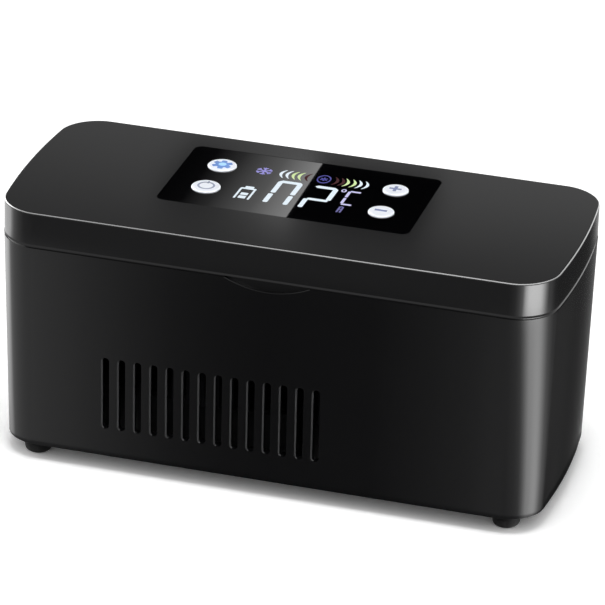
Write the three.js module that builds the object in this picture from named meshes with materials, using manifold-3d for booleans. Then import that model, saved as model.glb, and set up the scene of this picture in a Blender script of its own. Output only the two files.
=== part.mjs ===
// A portable insulin cooling case: a black box with a hinged lid, a display panel with four push
// buttons, an insulated aluminium tray, and a thermoelectric cooler, fan, battery and board below it.
// Millimetres, +Z up, the front towards -Y, the origin on the ground under the middle.
import * as THREE from "three";
import { mergeVertices } from "three/addons/utils/BufferGeometryUtils.js";
import Module from "manifold-3d";

const wasm = await Module();
wasm.setup();

// The case as a whole
const caseLength = 212;
const caseWidth = 90;
const caseHeight = 95;
const lidHeight = 12.65;
const seamGap = 0.35;
const cornerRadius = 14;
const endBow = 3.2;
const wall = 2.4;
const lidOverhang = 0.1;
const draftInset = 1.56;
const bottomChamfer = 0.5;
const lidChamfer = 0.5;

// Gaps between neighbours, and how far a cut runs past what it cuts
const clearance = 0.3;
const seat = 0.2;
const runningGap = 0.06;
const overrun = 2;

// Feet and the screws that hold them and the bottom cover
const footHeight = 6;
const footRadius = 5.5;
const footTaper = 0.35;
const footChamfer = 0.9;
const footEndInset = 16;
const footSideInset = 10.2;
const footBoreDepth = 3;
const footBoreRadius = 3.1;
const coverThickness = 2.5;
const screwRadius = 1.25;
const screwHeadRadius = 2.6;
const screwHeadHeight = 1.6;
const screwCrownShare = 0.8;
const crossWidth = 0.8;
const crossDepth = 0.9;
const bottomScrewReach = 20;
const bossRadius = 4.2;
const bossWebWidth = 3;

// Front and rear vents, finger scoop and the power inlet
const ventCount = 14;
const ventWidth = 3.2;
const ventHeight = 29.3;
const ventPitch = 6.185;
const ventRise = 11.4;
const scoopHalfWidth = 17.75;
const scoopDrop = 4.8;
const scoopDepth = 1.4;
const inletEndInset = 36;

// The ledge inside the case, the top frame and the mouth it leaves
const ledgeWidth = 3;
const ledgeThickness = 1.2;
const frameThickness = 2.9;
const frameSink = 0.3;
const mouthLip = 1;
const mouthChamfer = 0.8;

// The cold tray and the foam round it
const trayEndRoom = 17;
const traySideRoom = 16.5;
const trayWall = 1.2;
const trayCorner = 7;
const trayFloorChamfer = 2;
const trayFlange = 4;
const foamGap = 0.5;
const foamFloor = 6.8;

// The cooler stack under the tray
const moduleSize = 40;
const moduleThickness = 3.9;
const moduleInset = 1;
const moduleSkin = 0.8;
const blockLength = 62;
const blockThickness = 7;
const sinkLength = 80;
const sinkSideRoom = 12;
const sinkEndRoom = 5.3;
const sinkBase = 4;
const finHeight = 15;
const finThickness = 1.4;
const finCount = 15;
const sinkScrewOffset = 26;
const sinkScrewRelief = 4;
const sinkScrewBite = 4.5;

// The fan
const intakeRoom = 3.3;
const fanSize = 60;
const fanDepth = 15;
const fanCorner = 4;
const fanBore = 28.4;
const fanCarrierRadius = 11;
const fanCarrierThickness = 1.5;
const fanStrutWidth = 3;
const fanHoleRadius = 2.1;
const fanHoleOffset = 25;
const rotorHubRadius = 12;
const rotorRadius = 27.6;
const rotorHubHeight = 10;
const rotorLift = 0.4;
const bladeCount = 7;
const bladeThickness = 1.2;
const bladeChord = 10;
const bladeTilt = THREE.MathUtils.degToRad(52);
const shaftRadius = 1.5;
const grilleCount = 9;
const grilleSlot = 2.6;
const grillePitch = 5.4;
const grilleRadius = 26;

// Battery, holder, control board, power inlet and temperature sensor
const cellRadius = 9.2;
const cellLength = 65;
const cellButtonRadius = 3;
const cellButtonHeight = 1;
const holderWall = 1.5;
const holderHeight = 16;
const holderContact = 2.4;
const holderContactRadius = 4;
const holderEndRoom = 7.6;
const postRadius = 3;
const postPin = 1.2;
const postPinHeight = 2.6;
const boardThickness = 1.6;
const boardEndRoom = 3;
const boardLength = 56;
const boardFrontMargin = 8.15;
const boardRearRoom = 9;
const boardRise = 5.3;
const postMargin = 5;
const jackWidth = 9;
const jackLength = 14;
const jackHeight = 11;
const jackBarrel = 3.7;
const jackBore = 2.75;
const jackBoreDepth = 9;
const jackPin = 0.95;
const chipLength = 12;
const chipWidth = 9;
const chipHeight = 1.8;
const coilRadius = 5.5;
const coilHeight = 5;
const capacitorRadius = 3.5;
const capacitorHeight = 9;
const sensorInset = 17;
const sensorLength = 8;
const sensorWidth = 5;
const sensorHeight = 2.2;

// Lid: panel, display, buttons, inner cover, seal and screws
const lidTopThickness = 2.4;
const panelLength = 95.5;
const panelWidth = 51.1;
const panelX = -3.4;
const panelY = 8.05;
const panelCorner = 3;
const panelThickness = 1.15;
const panelSink = 0.05;
const panelBed = 0.1;
const panelGap = 0.15;
const displayShift = 0.9;
const displayEndRoom = 22.75;
const displaySideRoom = 8.05;
const windowMargin = 1.5;
const lidBoardThickness = 1.6;
const lidBoardMargin = 1.2;
const lidPostRadius = 2.5;
const lidPostInset = 3.5;
const buttonLeftInset = 14.45;
const buttonRightInset = 14.25;
const buttonBackInset = 14.7;
const buttonFrontInset = 16.05;
const leftButtonRadius = 5.4;
const rightButtonRadius = 4.8;
const buttonGap = 0.25;
const buttonProud = 0.6;
const buttonDome = 0.4;
const buttonFlange = 1.3;
const buttonFlangeThickness = 0.8;
const buttonStemRadius = 2;
const buttonStemLength = 0.5;
const buttonTravel = 0.6;
const switchSize = 6;
const switchHeight = 2.7;
const switchFloor = 0.5;
const plungerRadius = 1.75;
const plungerHeight = 2.3;
const linerThickness = 2.4;
const linerWall = 1.6;
const plugGap = 2;
const plugReach = 3.4;
const gasketOffset = 2;
const gasketWidth = 3;
const gasketHeight = 1.9;
const gasketProud = 0.7;
const lidScrewEndInset = 13;
const lidScrewSideInset = 12;
const lidBossRadius = 3.2;
const lidScrewReach = 5;
const magnetLength = 24;
const magnetWidth = 4.4;
const magnetHeight = 1.6;
const magnetSkin = 0.6;
const magnetInset = 8.5;

// Hinge behind the lid's rear face, with the display lead through its middle barrels
const hingeOut = 0.5;
const barrelRadius = 2.2;
const pinRadius = 1;
const hingeEndInset = 46;
const caseBarrel = 10;
const lidBarrel = 8;
const leadBarrel = 9;
const gussetHeight = 8;
const lidGussetHeight = 6;

// Leads
const leadRadius = 0.8;
const displayLeadRadius = 0.7;
const leadSlack = 3;
const leadPairGap = 4;
const leadStepShare = 3;
const leadRiseShare = 0.8;
const leadTurnShare = 0.75;
const leadBoreShare = 0.6;

// Facets
const roundSides = 20;
const smallSides = 10;
const barrelSides = 16;
const leadSides = 8;
const scoopSides = 80;
const slotArcSteps = 2;
const cornerSteps = 5;
const smallCornerSteps = 3;
const weld = 1e-4;

// Levels, from the ground up
const caseBottom = footHeight;
const lidTop = caseBottom + caseHeight;
const lidBottom = lidTop - lidHeight;
const rimTop = lidBottom - seamGap;
const baseHeight = rimTop - caseBottom;
const frameTop = rimTop - frameSink;
const frameBottom = frameTop - frameThickness;
const ledgeTop = frameBottom - seat;
const ledgeBottom = ledgeTop - ledgeThickness;
const trayTop = frameBottom - clearance;
const trayFlangeBottom = trayTop - trayWall;
const coverTop = caseBottom + coverThickness;
const fanBottom = coverTop + intakeRoom;
const finBottom = fanBottom + fanDepth + clearance;
const finTop = finBottom + finHeight;
const sinkTop = finTop + sinkBase;
const moduleBottom = sinkTop + seat;
const blockBottom = moduleBottom + moduleThickness + seat;
const blockTop = blockBottom + blockThickness;
const trayBottom = blockTop + seat;
const trayFloor = trayBottom + trayWall;
const foamTop = trayFlangeBottom - seat;
const foamSeat = trayBottom - clearance;
const foamBottom = foamSeat - foamFloor;
const holderBottom = coverTop + clearance;
const cellMiddle = holderBottom + holderWall + clearance + cellRadius;
const boardBottom = cellMiddle + cellRadius + boardRise;
const boardTop = boardBottom + boardThickness;
const inletZ = boardTop + seat + jackHeight / 2;

// Levels inside the lid, from the lid's lower edge up
const ceiling = lidHeight - lidTopThickness;
const panelTop = lidHeight - panelSink;
const panelBottom = panelTop - panelThickness;
const recessFloor = panelBottom - panelBed;
const flangeTop = ceiling - clearance;
const flangeBottom = flangeTop - buttonFlangeThickness;
const stemBottom = flangeBottom - buttonStemLength;
const plungerTop = stemBottom - seat;
const plungerBottom = plungerTop - plungerHeight;
const switchBottom = plungerBottom - buttonTravel - switchFloor - seat;
const lidBoardTop = switchBottom - seat;
const lidBoardBottom = lidBoardTop - lidBoardThickness;
const linerBottom = clearance;
const linerTop = linerBottom + linerThickness;
const plugBottom = linerBottom - plugReach - gasketProud - seat;

// Places that several pieces share
const hingeX = caseLength / 2 - hingeEndInset;
const hingeY = caseWidth / 2 + hingeOut;
const hingeZ = (rimTop + lidBottom) / 2;
const rearOverhang = hingeOut + barrelRadius;
const frontFace = -caseWidth / 2 + lidOverhang;
const footX = caseLength / 2 - footEndInset;
const footY = caseWidth / 2 - footSideInset;
const trayLength = caseLength - 2 * trayEndRoom;
const trayWidth = caseWidth - 2 * traySideRoom;
const mouthHalfX = trayLength / 2 - mouthLip;
const mouthHalfY = trayWidth / 2 - mouthLip;
const holderLength = 2 * (holderWall + holderContact + clearance) + cellLength + cellButtonHeight;
const holderRight = caseLength / 2 - holderEndRoom;
const holderLeft = holderRight - holderLength;
const holderHalfY = 2 * cellRadius + 1.5 * clearance + holderWall;
const cellLeft = holderLeft + holderWall + holderContact + clearance;
const coolerX = holderLeft - sinkEndRoom - sinkLength / 2;
const sinkWidth = caseWidth - 2 * sinkSideRoom;
const boardLeft = holderLeft + boardEndRoom;
const boardMiddleX = boardLeft + boardLength / 2;
const postRows = [-holderHalfY - postRadius / 2, holderHalfY + postRadius / 2];
const postColumns = [boardLeft + postMargin, boardLeft + boardLength - postMargin];
const boardFront = postRows[0] - boardFrontMargin;
const boardRear = caseWidth / 2 - boardRearRoom;
const sensorX = boardLeft + sensorInset;
const inletX = caseLength / 2 - inletEndInset;
const magnetY = -caseWidth / 2 + magnetInset;
const lidScrewX = caseLength / 2 - lidScrewEndInset;
const lidScrewY = caseWidth / 2 - lidScrewSideInset;
const displayX = panelX + displayShift;
const displayLength = panelLength - 2 * displayEndRoom;
const displayWidth = panelWidth - 2 * displaySideRoom;
const buttonLeft = panelX - panelLength / 2 + buttonLeftInset;
const buttonRight = panelX + panelLength / 2 - buttonRightInset;
const buttonBack = panelY + panelWidth / 2 - buttonBackInset;
const buttonFront = panelY - panelWidth / 2 + buttonFrontInset;
const buttons = {
  mode_button: [buttonLeft, buttonBack, leftButtonRadius],
  power_button: [buttonLeft, buttonFront, leftButtonRadius],
  plus_button: [buttonRight, buttonBack, rightButtonRadius],
  minus_button: [buttonRight, buttonFront, rightButtonRadius],
};
const bothSides = [-1, 1];
const fourCorners = [
  [-1, -1],
  [1, -1],
  [1, 1],
  [-1, 1],
];

// Materials
const finish = (color, roughness, metalness = 0) =>
  new THREE.MeshStandardMaterial({ color, roughness, metalness });
const blackGlossAbs = finish(0x141415, 0.28);
const blackSatinAbs = finish(0x1b1b1c, 0.5);
const blackGlass = finish(0x050506, 0.06);
const blackRubber = finish(0x161616, 0.9);
const whiteAbs = finish(0xe9ecf2, 0.35);
const greyNylon = finish(0x2a2b2d, 0.55);
const brushedAluminium = finish(0xb9bcc0, 0.35, 1);
const blackAnodised = finish(0x2c2d30, 0.45, 1);
const whiteFoam = finish(0xe8e8e4, 0.95);
const whiteCeramic = finish(0xe4e2dc, 0.6);
const zincSteel = finish(0xa9acb0, 0.35, 1);
const nickelMagnet = finish(0xc4c5c7, 0.25, 1);
const greenBoard = finish(0x1c5a38, 0.5);
const blueSleeve = finish(0x2a62a8, 0.4);
const redPvc = finish(0xb3221f, 0.5);
const blackPvc = finish(0x1d1d1d, 0.5);
const greyPvc = finish(0x77797c, 0.5);

// Geometry to solid: only positions are kept, so that shared corners merge
function solid(geometry) {
  const loose = geometry.index ? geometry.toNonIndexed() : geometry;
  const bare = new THREE.BufferGeometry();
  bare.setAttribute("position", loose.getAttribute("position"));
  const merged = mergeVertices(bare, weld);
  const corners = merged.index.array;
  const triangles = [];
  for (let i = 0; i < corners.length; i += 3) {
    const [a, b, c] = [corners[i], corners[i + 1], corners[i + 2]];
    if (a !== b && b !== c && c !== a) triangles.push(a, b, c);
  }
  return new wasm.Manifold(
    new wasm.Mesh({
      numProp: 3,
      vertProperties: merged.getAttribute("position").array,
      triVerts: new Uint32Array(triangles),
    }),
  );
}

// Solid to geometry
function geometryOf(body) {
  const mesh = body.getMesh();
  const places = new Float32Array(mesh.numVert * 3);
  for (let i = 0; i < mesh.numVert; i++) {
    places.set(mesh.vertProperties.subarray(i * mesh.numProp, i * mesh.numProp + 3), i * 3);
  }
  const geometry = new THREE.BufferGeometry();
  geometry.setAttribute("position", new THREE.BufferAttribute(places, 3));
  geometry.setIndex(new THREE.BufferAttribute(mesh.triVerts, 1));
  geometry.computeVertexNormals();
  return geometry;
}

const unite = (bodies) => bodies.reduce((all, next) => all.add(next));
const cut = (body, cutters) => cutters.reduce((rest, next) => rest.subtract(next), body);

// A named mesh placed in its group
function place(group, name, body, material, x = 0, y = 0, z = 0) {
  const mesh = new THREE.Mesh(geometryOf(body), material);
  mesh.name = name;
  mesh.position.set(x, y, z);
  group.add(mesh);
  return mesh;
}

// A block on a floor level, centred on x and y
function block(sizeX, sizeY, bottom, top, x = 0, y = 0) {
  const geometry = new THREE.BoxGeometry(sizeX, sizeY, top - bottom);
  return solid(geometry.translate(x, y, (bottom + top) / 2));
}

// Upright, sideways and fore-and-aft rods
function upright(radius, bottom, top, x = 0, y = 0, sides = roundSides) {
  const geometry = new THREE.CylinderGeometry(radius, radius, top - bottom, sides);
  geometry.rotateX(Math.PI / 2);
  return solid(geometry.translate(x, y, (bottom + top) / 2));
}

function sideways(radius, left, right, y, z, sides = roundSides) {
  const geometry = new THREE.CylinderGeometry(radius, radius, right - left, sides);
  geometry.rotateZ(Math.PI / 2);
  return solid(geometry.translate((left + right) / 2, y, z));
}

function endways(radius, front, rear, x, z, sides = roundSides) {
  const geometry = new THREE.CylinderGeometry(radius, radius, rear - front, sides);
  return solid(geometry.translate(x, (front + rear) / 2, z));
}

// The circle through the corners of a many-sided hole whose flats lie at radius
const aroundFlats = (radius, sides = roundSides) => radius / Math.cos(Math.PI / sides);

// A turned piece: [radius, height] points from the axis at the bottom to the axis at the top
function turned(profile, sides = roundSides) {
  const points = profile.map(([radius, height]) => new THREE.Vector2(radius, height));
  const geometry = new THREE.LatheGeometry(points, sides);
  return solid(geometry.rotateX(Math.PI / 2));
}

// A rounded rectangle seen from above, anticlockwise. The short ends bow outwards in the middle
function outline(halfX, halfY, radius, bow = 0, steps = smallCornerSteps) {
  const quarters = [
    [1, 1],
    [-1, 1],
    [-1, -1],
    [1, -1],
  ];
  const bowedShares = bow ? [-0.5, 0, 0.5] : [];
  const points = [];
  quarters.forEach(([signX, signY], quarter) => {
    for (let step = 0; step <= steps; step++) {
      const angle = ((quarter + step / steps) * Math.PI) / 2;
      const x = signX * (halfX - radius) + radius * Math.cos(angle);
      const y = signY * (halfY - radius) + radius * Math.sin(angle);
      points.push([x, y]);
    }
    if (signX * signY < 0) {
      for (const share of bowedShares) points.push([signX * halfX, signX * share * (halfY - radius)]);
    }
  });
  return points.map(([x, y]) => [x - Math.sign(x) * bow * (y / halfY) ** 2, y]);
}

// The case's plan, drawn in from the lid's own by inset
const plan = (inset) =>
  outline(caseLength / 2 - inset, caseWidth / 2 - inset, cornerRadius - inset, endBow, cornerSteps);

// How far the base wall has leaned in at a level, and the inset of its inner face there
const lean = (z) => (draftInset * (rimTop - z)) / baseHeight;
const innerInset = (z) => lidOverhang + wall + lean(z);

// Rings of [outline, level] skinned in order. An open skin is capped at both ends, a closed one
// joins its last ring to its first
function skin(rings, closed = false) {
  const count = rings[0][0].length;
  const places = rings.flatMap(([points, z]) => points.flatMap(([x, y]) => [x, y, z]));
  const index = [];
  const spans = closed ? rings.length : rings.length - 1;
  for (let ring = 0; ring < spans; ring++) {
    const low = ring * count;
    const high = ((ring + 1) % rings.length) * count;
    for (let i = 0; i < count; i++) {
      const next = (i + 1) % count;
      index.push(low + i, low + next, high + next, low + i, high + next, high + i);
    }
  }
  const last = (rings.length - 1) * count;
  for (let i = 1; i < count - 1 && !closed; i++) {
    index.push(0, i + 1, i, last, last + i, last + i + 1);
  }
  const geometry = new THREE.BufferGeometry();
  geometry.setAttribute("position", new THREE.Float32BufferAttribute(places, 3));
  geometry.setIndex(index);
  return solid(geometry);
}

const slab = (points, bottom, top) =>
  skin([
    [points, bottom],
    [points, top],
  ]);

// A stadium-shaped slot lying along x, and the same standing upright through a front or rear wall
function slotShape(length, width) {
  const radius = width / 2;
  const reach = length / 2 - radius;
  const shape = new THREE.Shape();
  shape.absarc(reach, 0, radius, -Math.PI / 2, Math.PI / 2);
  shape.absarc(-reach, 0, radius, Math.PI / 2, (3 * Math.PI) / 2);
  return shape;
}

function slotGeometry(length, width, depth) {
  return new THREE.ExtrudeGeometry(slotShape(length, width), {
    depth,
    bevelEnabled: false,
    curveSegments: slotArcSteps,
  });
}

function floorSlot(length, width, bottom, top, x, y) {
  const geometry = slotGeometry(length, width, top - bottom);
  return solid(geometry.translate(x, y, bottom));
}

function wallSlot(x, middleY) {
  const depth = 2 * (wall + overrun);
  const geometry = slotGeometry(ventHeight, ventWidth, depth);
  geometry.rotateY(Math.PI / 2);
  geometry.rotateZ(Math.PI / 2);
  const ventMiddle = caseBottom + ventRise + ventHeight / 2;
  return solid(geometry.translate(x, middleY - depth / 2, ventMiddle));
}

// A round lead along its route, or with a margin the hole that it runs through
function tube(route, radius, margin = 0) {
  const path = new THREE.CatmullRomCurve3(route.map((point) => new THREE.Vector3(...point)));
  const section = new THREE.Shape();
  for (let i = 0; i < leadSides; i++) {
    const angle = (i * 2 * Math.PI) / leadSides;
    const [x, y] = [(radius + margin) * Math.cos(angle), (radius + margin) * Math.sin(angle)];
    if (i === 0) section.moveTo(x, y);
    else section.lineTo(x, y);
  }
  const steps = Math.ceil(path.getLength() / (leadStepShare * 2 * radius));
  return solid(new THREE.ExtrudeGeometry(section, { steps, extrudePath: path, bevelEnabled: false }));
}

// A wedge under or over a hinge barrel, joining it to the wall
function gusset(x, span, axisZ, rise) {
  const inWall = caseWidth / 2 - wall / 2;
  const shape = new THREE.Shape([
    new THREE.Vector2(inWall, axisZ),
    new THREE.Vector2(hingeY + barrelRadius, axisZ),
    new THREE.Vector2(caseWidth / 2 - lidOverhang, axisZ + rise),
    new THREE.Vector2(inWall, axisZ + rise),
  ]);
  const geometry = new THREE.ExtrudeGeometry(shape, { depth: span, bevelEnabled: false });
  geometry.rotateX(Math.PI / 2);
  geometry.rotateZ(Math.PI / 2);
  return solid(geometry.translate(x - span / 2, 0, 0));
}

// All hinge barrels: two sets round a pin, and a hollow pair in the middle for the display lead
function barrels() {
  const list = [];
  for (const side of bothSides) {
    const bore = pinRadius + runningGap;
    list.push({ owner: "case", x: side * hingeX, span: caseBarrel, bore });
    for (const end of bothSides) {
      const x = side * hingeX + end * ((caseBarrel + lidBarrel) / 2 + clearance);
      list.push({ owner: "lid", x, span: lidBarrel, bore });
    }
  }
  const leadBore = displayLeadRadius + clearance;
  const leadX = (leadBarrel + clearance) / 2;
  list.push({ owner: "case", x: -leadX, span: leadBarrel, bore: leadBore });
  list.push({ owner: "lid", x: leadX, span: leadBarrel, bore: leadBore });
  return list;
}

// A shell with its own barrels and gussets, notched round the other shell's
function hinged(shell, owner, axisZ, gussetRise) {
  const own = barrels().filter((barrel) => barrel.owner === owner);
  const others = barrels().filter((barrel) => barrel.owner !== owner);
  const spanOf = ({ x, span }, extra) => [x - span / 2 - extra, x + span / 2 + extra];
  const notches = others.map((barrel) =>
    sideways(barrelRadius + clearance, ...spanOf(barrel, clearance), hingeY, axisZ, barrelSides),
  );
  const rolls = own.flatMap((barrel) => [
    sideways(barrelRadius, ...spanOf(barrel, 0), hingeY, axisZ, barrelSides),
    gusset(barrel.x, barrel.span, axisZ, gussetRise),
  ]);
  const pinned = own.filter((barrel) => Math.abs(barrel.x) > leadBarrel);
  const bores = pinned.map((barrel) => {
    const radius = aroundFlats(barrel.bore, barrelSides);
    return sideways(radius, ...spanOf(barrel, clearance / 2), hingeY, axisZ, barrelSides);
  });
  return cut(unite([cut(shell, notches), ...rolls]), bores);
}

// The route of the lead to the display: up behind the foam, then along the hinge's axis
function caseLeadRoute() {
  const backY = caseWidth / 2 - innerInset(foamBottom) - displayLeadRadius - clearance / 2;
  const riseX = -leadBarrel * leadRiseShare;
  const startX = boardLeft + boardLength / 4;
  const startZ = boardTop - boardThickness / 2;
  return [
    [startX, boardRear + clearance, startZ],
    [startX, boardRear + leadSlack, startZ],
    [startX - 2 * leadSlack, boardRear + leadSlack, boardTop + leadSlack / 2],
    [startX / 2, backY, (boardTop + foamBottom) / 2],
    [0, backY, foamBottom - leadSlack / 2],
    [riseX / 2, backY, foamBottom + leadSlack / 2],
    [riseX, backY, foamBottom + 3 * leadSlack],
    [riseX, backY, (foamBottom + foamTop) / 2],
    [riseX, backY, foamTop],
    [riseX, (backY + hingeY) / 2, (foamTop + hingeZ) / 2 + leadSlack / 3],
    [riseX * leadTurnShare, hingeY, hingeZ],
    [riseX / 2, hingeY, hingeZ],
    [-seat, hingeY, hingeZ],
  ];
}

// The same lead in the lid: along the axis, then in through the rear wall and onto the board
function lidLeadRoute() {
  const axisZ = hingeZ - lidBottom;
  const riseX = leadBarrel * leadRiseShare;
  const boardEdge = panelY + panelWidth / 2 - lidBoardMargin;
  const overBoard = lidBoardTop + clearance + displayLeadRadius;
  return [
    [seat, hingeY, axisZ],
    [riseX / 2, hingeY, axisZ],
    [riseX * leadTurnShare, hingeY, axisZ],
    [riseX, hingeY - wall, axisZ + leadSlack / 2],
    [riseX, (hingeY + boardEdge) / 2, overBoard],
    [riseX, boardEdge, overBoard],
    [riseX, boardEdge - leadSlack, overBoard],
  ];
}

// Middles of the vents, over the cooler. A vent that would reach a rounded corner is left out
function ventPlaces() {
  const flatHalf = caseLength / 2 - endBow - cornerRadius - ventWidth;
  const places = Array.from(
    { length: ventCount },
    (_, i) => coolerX + (i - (ventCount - 1) / 2) * ventPitch,
  );
  return places.filter((x) => Math.abs(x) < flatHalf);
}

// Base shell: leaning walls, screw bosses that also carry the foam, vents, scoop and inlet
function housing() {
  const leanBottom = lidOverhang + draftInset;
  const shell = skin(
    [
      [plan(leanBottom + bottomChamfer), caseBottom],
      [plan(lidOverhang + lean(caseBottom + bottomChamfer)), caseBottom + bottomChamfer],
      [plan(lidOverhang), rimTop],
      [plan(lidOverhang + wall), rimTop],
      [plan(innerInset(ledgeTop)), ledgeTop],
      [plan(innerInset(ledgeTop) + ledgeWidth), ledgeTop],
      [plan(innerInset(ledgeTop) + ledgeWidth), ledgeBottom],
      [plan(innerInset(ledgeBottom)), ledgeBottom],
      [plan(leanBottom + wall), caseBottom],
    ],
    true,
  );
  const bossBottom = coverTop + clearance;
  const bossTop = foamBottom - clearance;
  const inWall = caseWidth / 2 - leanBottom - wall / 2;
  const bosses = fourCorners.flatMap(([signX, signY]) => [
    upright(bossRadius, bossBottom, bossTop, signX * footX, signY * footY),
    block(bossWebWidth, inWall - footY, bossBottom, bossTop, signX * footX, (signY * (footY + inWall)) / 2),
  ]);
  const pilots = fourCorners.map(([signX, signY]) =>
    upright(
      screwRadius + clearance,
      bossBottom - overrun,
      bottomScrewReach + overrun,
      signX * footX,
      signY * footY,
      smallSides,
    ),
  );
  const ventWall = caseWidth / 2 - leanBottom;
  const vents = bothSides.flatMap((side) => ventPlaces().map((x) => wallSlot(x, side * ventWall)));
  const scoopRadius = (scoopHalfWidth ** 2 + scoopDrop ** 2) / (2 * scoopDrop);
  const scoop = endways(
    scoopRadius,
    frontFace - overrun,
    frontFace + scoopDepth,
    0,
    rimTop - scoopDrop + scoopRadius,
    scoopSides,
  );
  const inlet = endways(
    jackBarrel + clearance,
    caseWidth / 2 - innerInset(inletZ) - overrun,
    caseWidth / 2 + overrun,
    inletX,
    inletZ,
  );
  const body = hinged(unite([shell, ...bosses]), "case", hingeZ, -gussetHeight);
  const leadHole = tube(caseLeadRoute(), displayLeadRadius, clearance);
  const boreStart = -leadBarrel * leadBoreShare;
  const leadBore = sideways(displayLeadRadius + clearance, boreStart, clearance, hingeY, hingeZ, leadSides);
  return cut(body, [...pilots, ...vents, scoop, inlet, leadHole, leadBore]);
}

// Bottom cover with the fan's intake slots
function bottomCover() {
  const inset = innerInset(caseBottom) + clearance;
  const plate = slab(plan(inset), caseBottom, coverTop);
  const holes = fourCorners.map(([signX, signY]) =>
    upright(
      screwRadius + clearance,
      caseBottom - overrun,
      coverTop + overrun,
      signX * footX,
      signY * footY,
      smallSides,
    ),
  );
  const slots = Array.from({ length: grilleCount }, (_, i) => {
    const y = (i - (grilleCount - 1) / 2) * grillePitch;
    const length = 2 * Math.sqrt(grilleRadius ** 2 - y ** 2);
    return floorSlot(length, grilleSlot, caseBottom - overrun, coverTop + overrun, coolerX, y);
  });
  return cut(plate, [...holes, ...slots]);
}

// Rubber foot with a counterbored hole
function foot() {
  const bottomRadius = footRadius - footTaper;
  const full = turned([
    [0, 0],
    [bottomRadius - footChamfer, 0],
    [bottomRadius, footChamfer],
    [footRadius, footHeight - seat],
    [0, footHeight - seat],
  ]);
  return cut(full, [
    upright(footBoreRadius, -overrun, footBoreDepth, 0, 0, smallSides),
    upright(screwRadius + clearance, 0, footHeight + overrun, 0, 0, smallSides),
  ]);
}

// Cross-head screw, its head's seat at z = 0 and its shank going up by reach
function screw(reach) {
  const body = turned(
    [
      [0, -screwHeadHeight],
      [screwHeadRadius * screwCrownShare, -screwHeadHeight],
      [screwHeadRadius, 0],
      [screwRadius, 0],
      [screwRadius, reach],
      [0, reach],
    ],
    smallSides,
  );
  const bottom = -screwHeadHeight - overrun;
  const top = -screwHeadHeight + crossDepth;
  return cut(body, [
    block(2 * screwRadius, crossWidth, bottom, top),
    block(crossWidth, 2 * screwRadius, bottom, top),
  ]);
}

// Frame over the tray's flange, with a chamfered mouth and a magnet pocket below
function topFrame() {
  const plate = skin([
    [plan(innerInset(frameBottom) + clearance), frameBottom],
    [plan(innerInset(frameTop) + clearance), frameTop],
  ]);
  const mouth = (grow) => outline(mouthHalfX + grow, mouthHalfY + grow, trayCorner + grow);
  const opening = skin([
    [mouth(0), frameBottom - overrun],
    [mouth(0), frameTop - mouthChamfer],
    [mouth(mouthChamfer), frameTop],
    [mouth(mouthChamfer), frameTop + overrun],
  ]);
  const pocketTop = frameTop - magnetSkin;
  const pocket = block(
    magnetLength + 2 * seat,
    magnetWidth + 2 * seat,
    frameBottom - overrun,
    pocketTop,
    0,
    magnetY,
  );
  return cut(plate, [opening, pocket, tube(caseLeadRoute(), displayLeadRadius, clearance)]);
}

// Drawn aluminium tray with a flange round its top
function coldTray() {
  const ring = (grow) => outline(trayLength / 2 + grow, trayWidth / 2 + grow, trayCorner + grow);
  return skin([
    [ring(trayWall - trayFloorChamfer), trayBottom],
    [ring(trayWall), trayBottom + trayFloorChamfer],
    [ring(trayWall), trayFlangeBottom],
    [ring(trayWall + trayFlange), trayFlangeBottom],
    [ring(trayWall + trayFlange), trayTop],
    [ring(0), trayTop],
    [ring(0), trayFloor + trayFloorChamfer],
    [ring(-trayFloorChamfer), trayFloor],
  ]);
}

// Foam tub round the tray, with openings for the cold block, the sensor and two leads
function foamInsulation() {
  const tub = slab(plan(innerInset(foamBottom) + foamGap), foamBottom, foamTop);
  const grow = trayWall + clearance;
  const cavity = outline(trayLength / 2 + grow, trayWidth / 2 + grow, trayCorner + grow);
  return cut(tub, [
    slab(cavity, foamSeat, foamTop + overrun),
    block(
      blockLength + 2 * clearance,
      moduleSize + 2 * clearance,
      foamBottom - overrun,
      foamSeat + overrun,
      coolerX,
      0,
    ),
    block(
      sensorLength + 2 * clearance,
      sensorWidth + 2 * clearance,
      blockTop - sensorHeight - clearance,
      foamSeat + overrun,
      sensorX,
      0,
    ),
    upright(leadRadius + clearance, foamBottom - overrun, foamSeat, sensorX, 0, leadSides),
    tube(caseLeadRoute(), displayLeadRadius, clearance),
  ]);
}

// Cold block between the tray and the module, tapped for the two heat sink screws
function coldBlock() {
  const body = block(blockLength, moduleSize, 0, blockThickness);
  const holes = bothSides.map((side) =>
    upright(
      screwRadius + clearance,
      -overrun,
      sinkScrewBite + clearance,
      side * sinkScrewOffset,
      0,
      smallSides,
    ),
  );
  return cut(body, holes);
}

// Thermoelectric module: two ceramic plates with the smaller couples' layer between them
function coolingModule() {
  const layer = moduleSize - 2 * moduleInset;
  return unite([
    block(moduleSize, moduleSize, 0, moduleSkin),
    block(layer, layer, moduleSkin / 2, moduleThickness - moduleSkin / 2),
    block(moduleSize, moduleSize, moduleThickness - moduleSkin, moduleThickness),
  ]);
}

// Heat sink: a base with fins that hang below it and run front to rear
function heatSink() {
  const base = block(sinkLength, sinkWidth, finTop, sinkTop);
  const pitch = (sinkLength - finThickness) / (finCount - 1);
  const fins = Array.from({ length: finCount }, (_, i) =>
    block(finThickness, sinkWidth, finBottom, finTop + overrun, (i - (finCount - 1) / 2) * pitch, 0),
  );
  const reliefs = bothSides.map((side) =>
    upright(sinkScrewRelief, finBottom - overrun, finTop, side * sinkScrewOffset, 0),
  );
  const holes = bothSides.map((side) =>
    upright(
      screwRadius + clearance,
      finTop - overrun,
      sinkTop + overrun,
      side * sinkScrewOffset,
      0,
      smallSides,
    ),
  );
  return cut(unite([base, ...fins]), [...reliefs, ...holes]);
}

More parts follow.
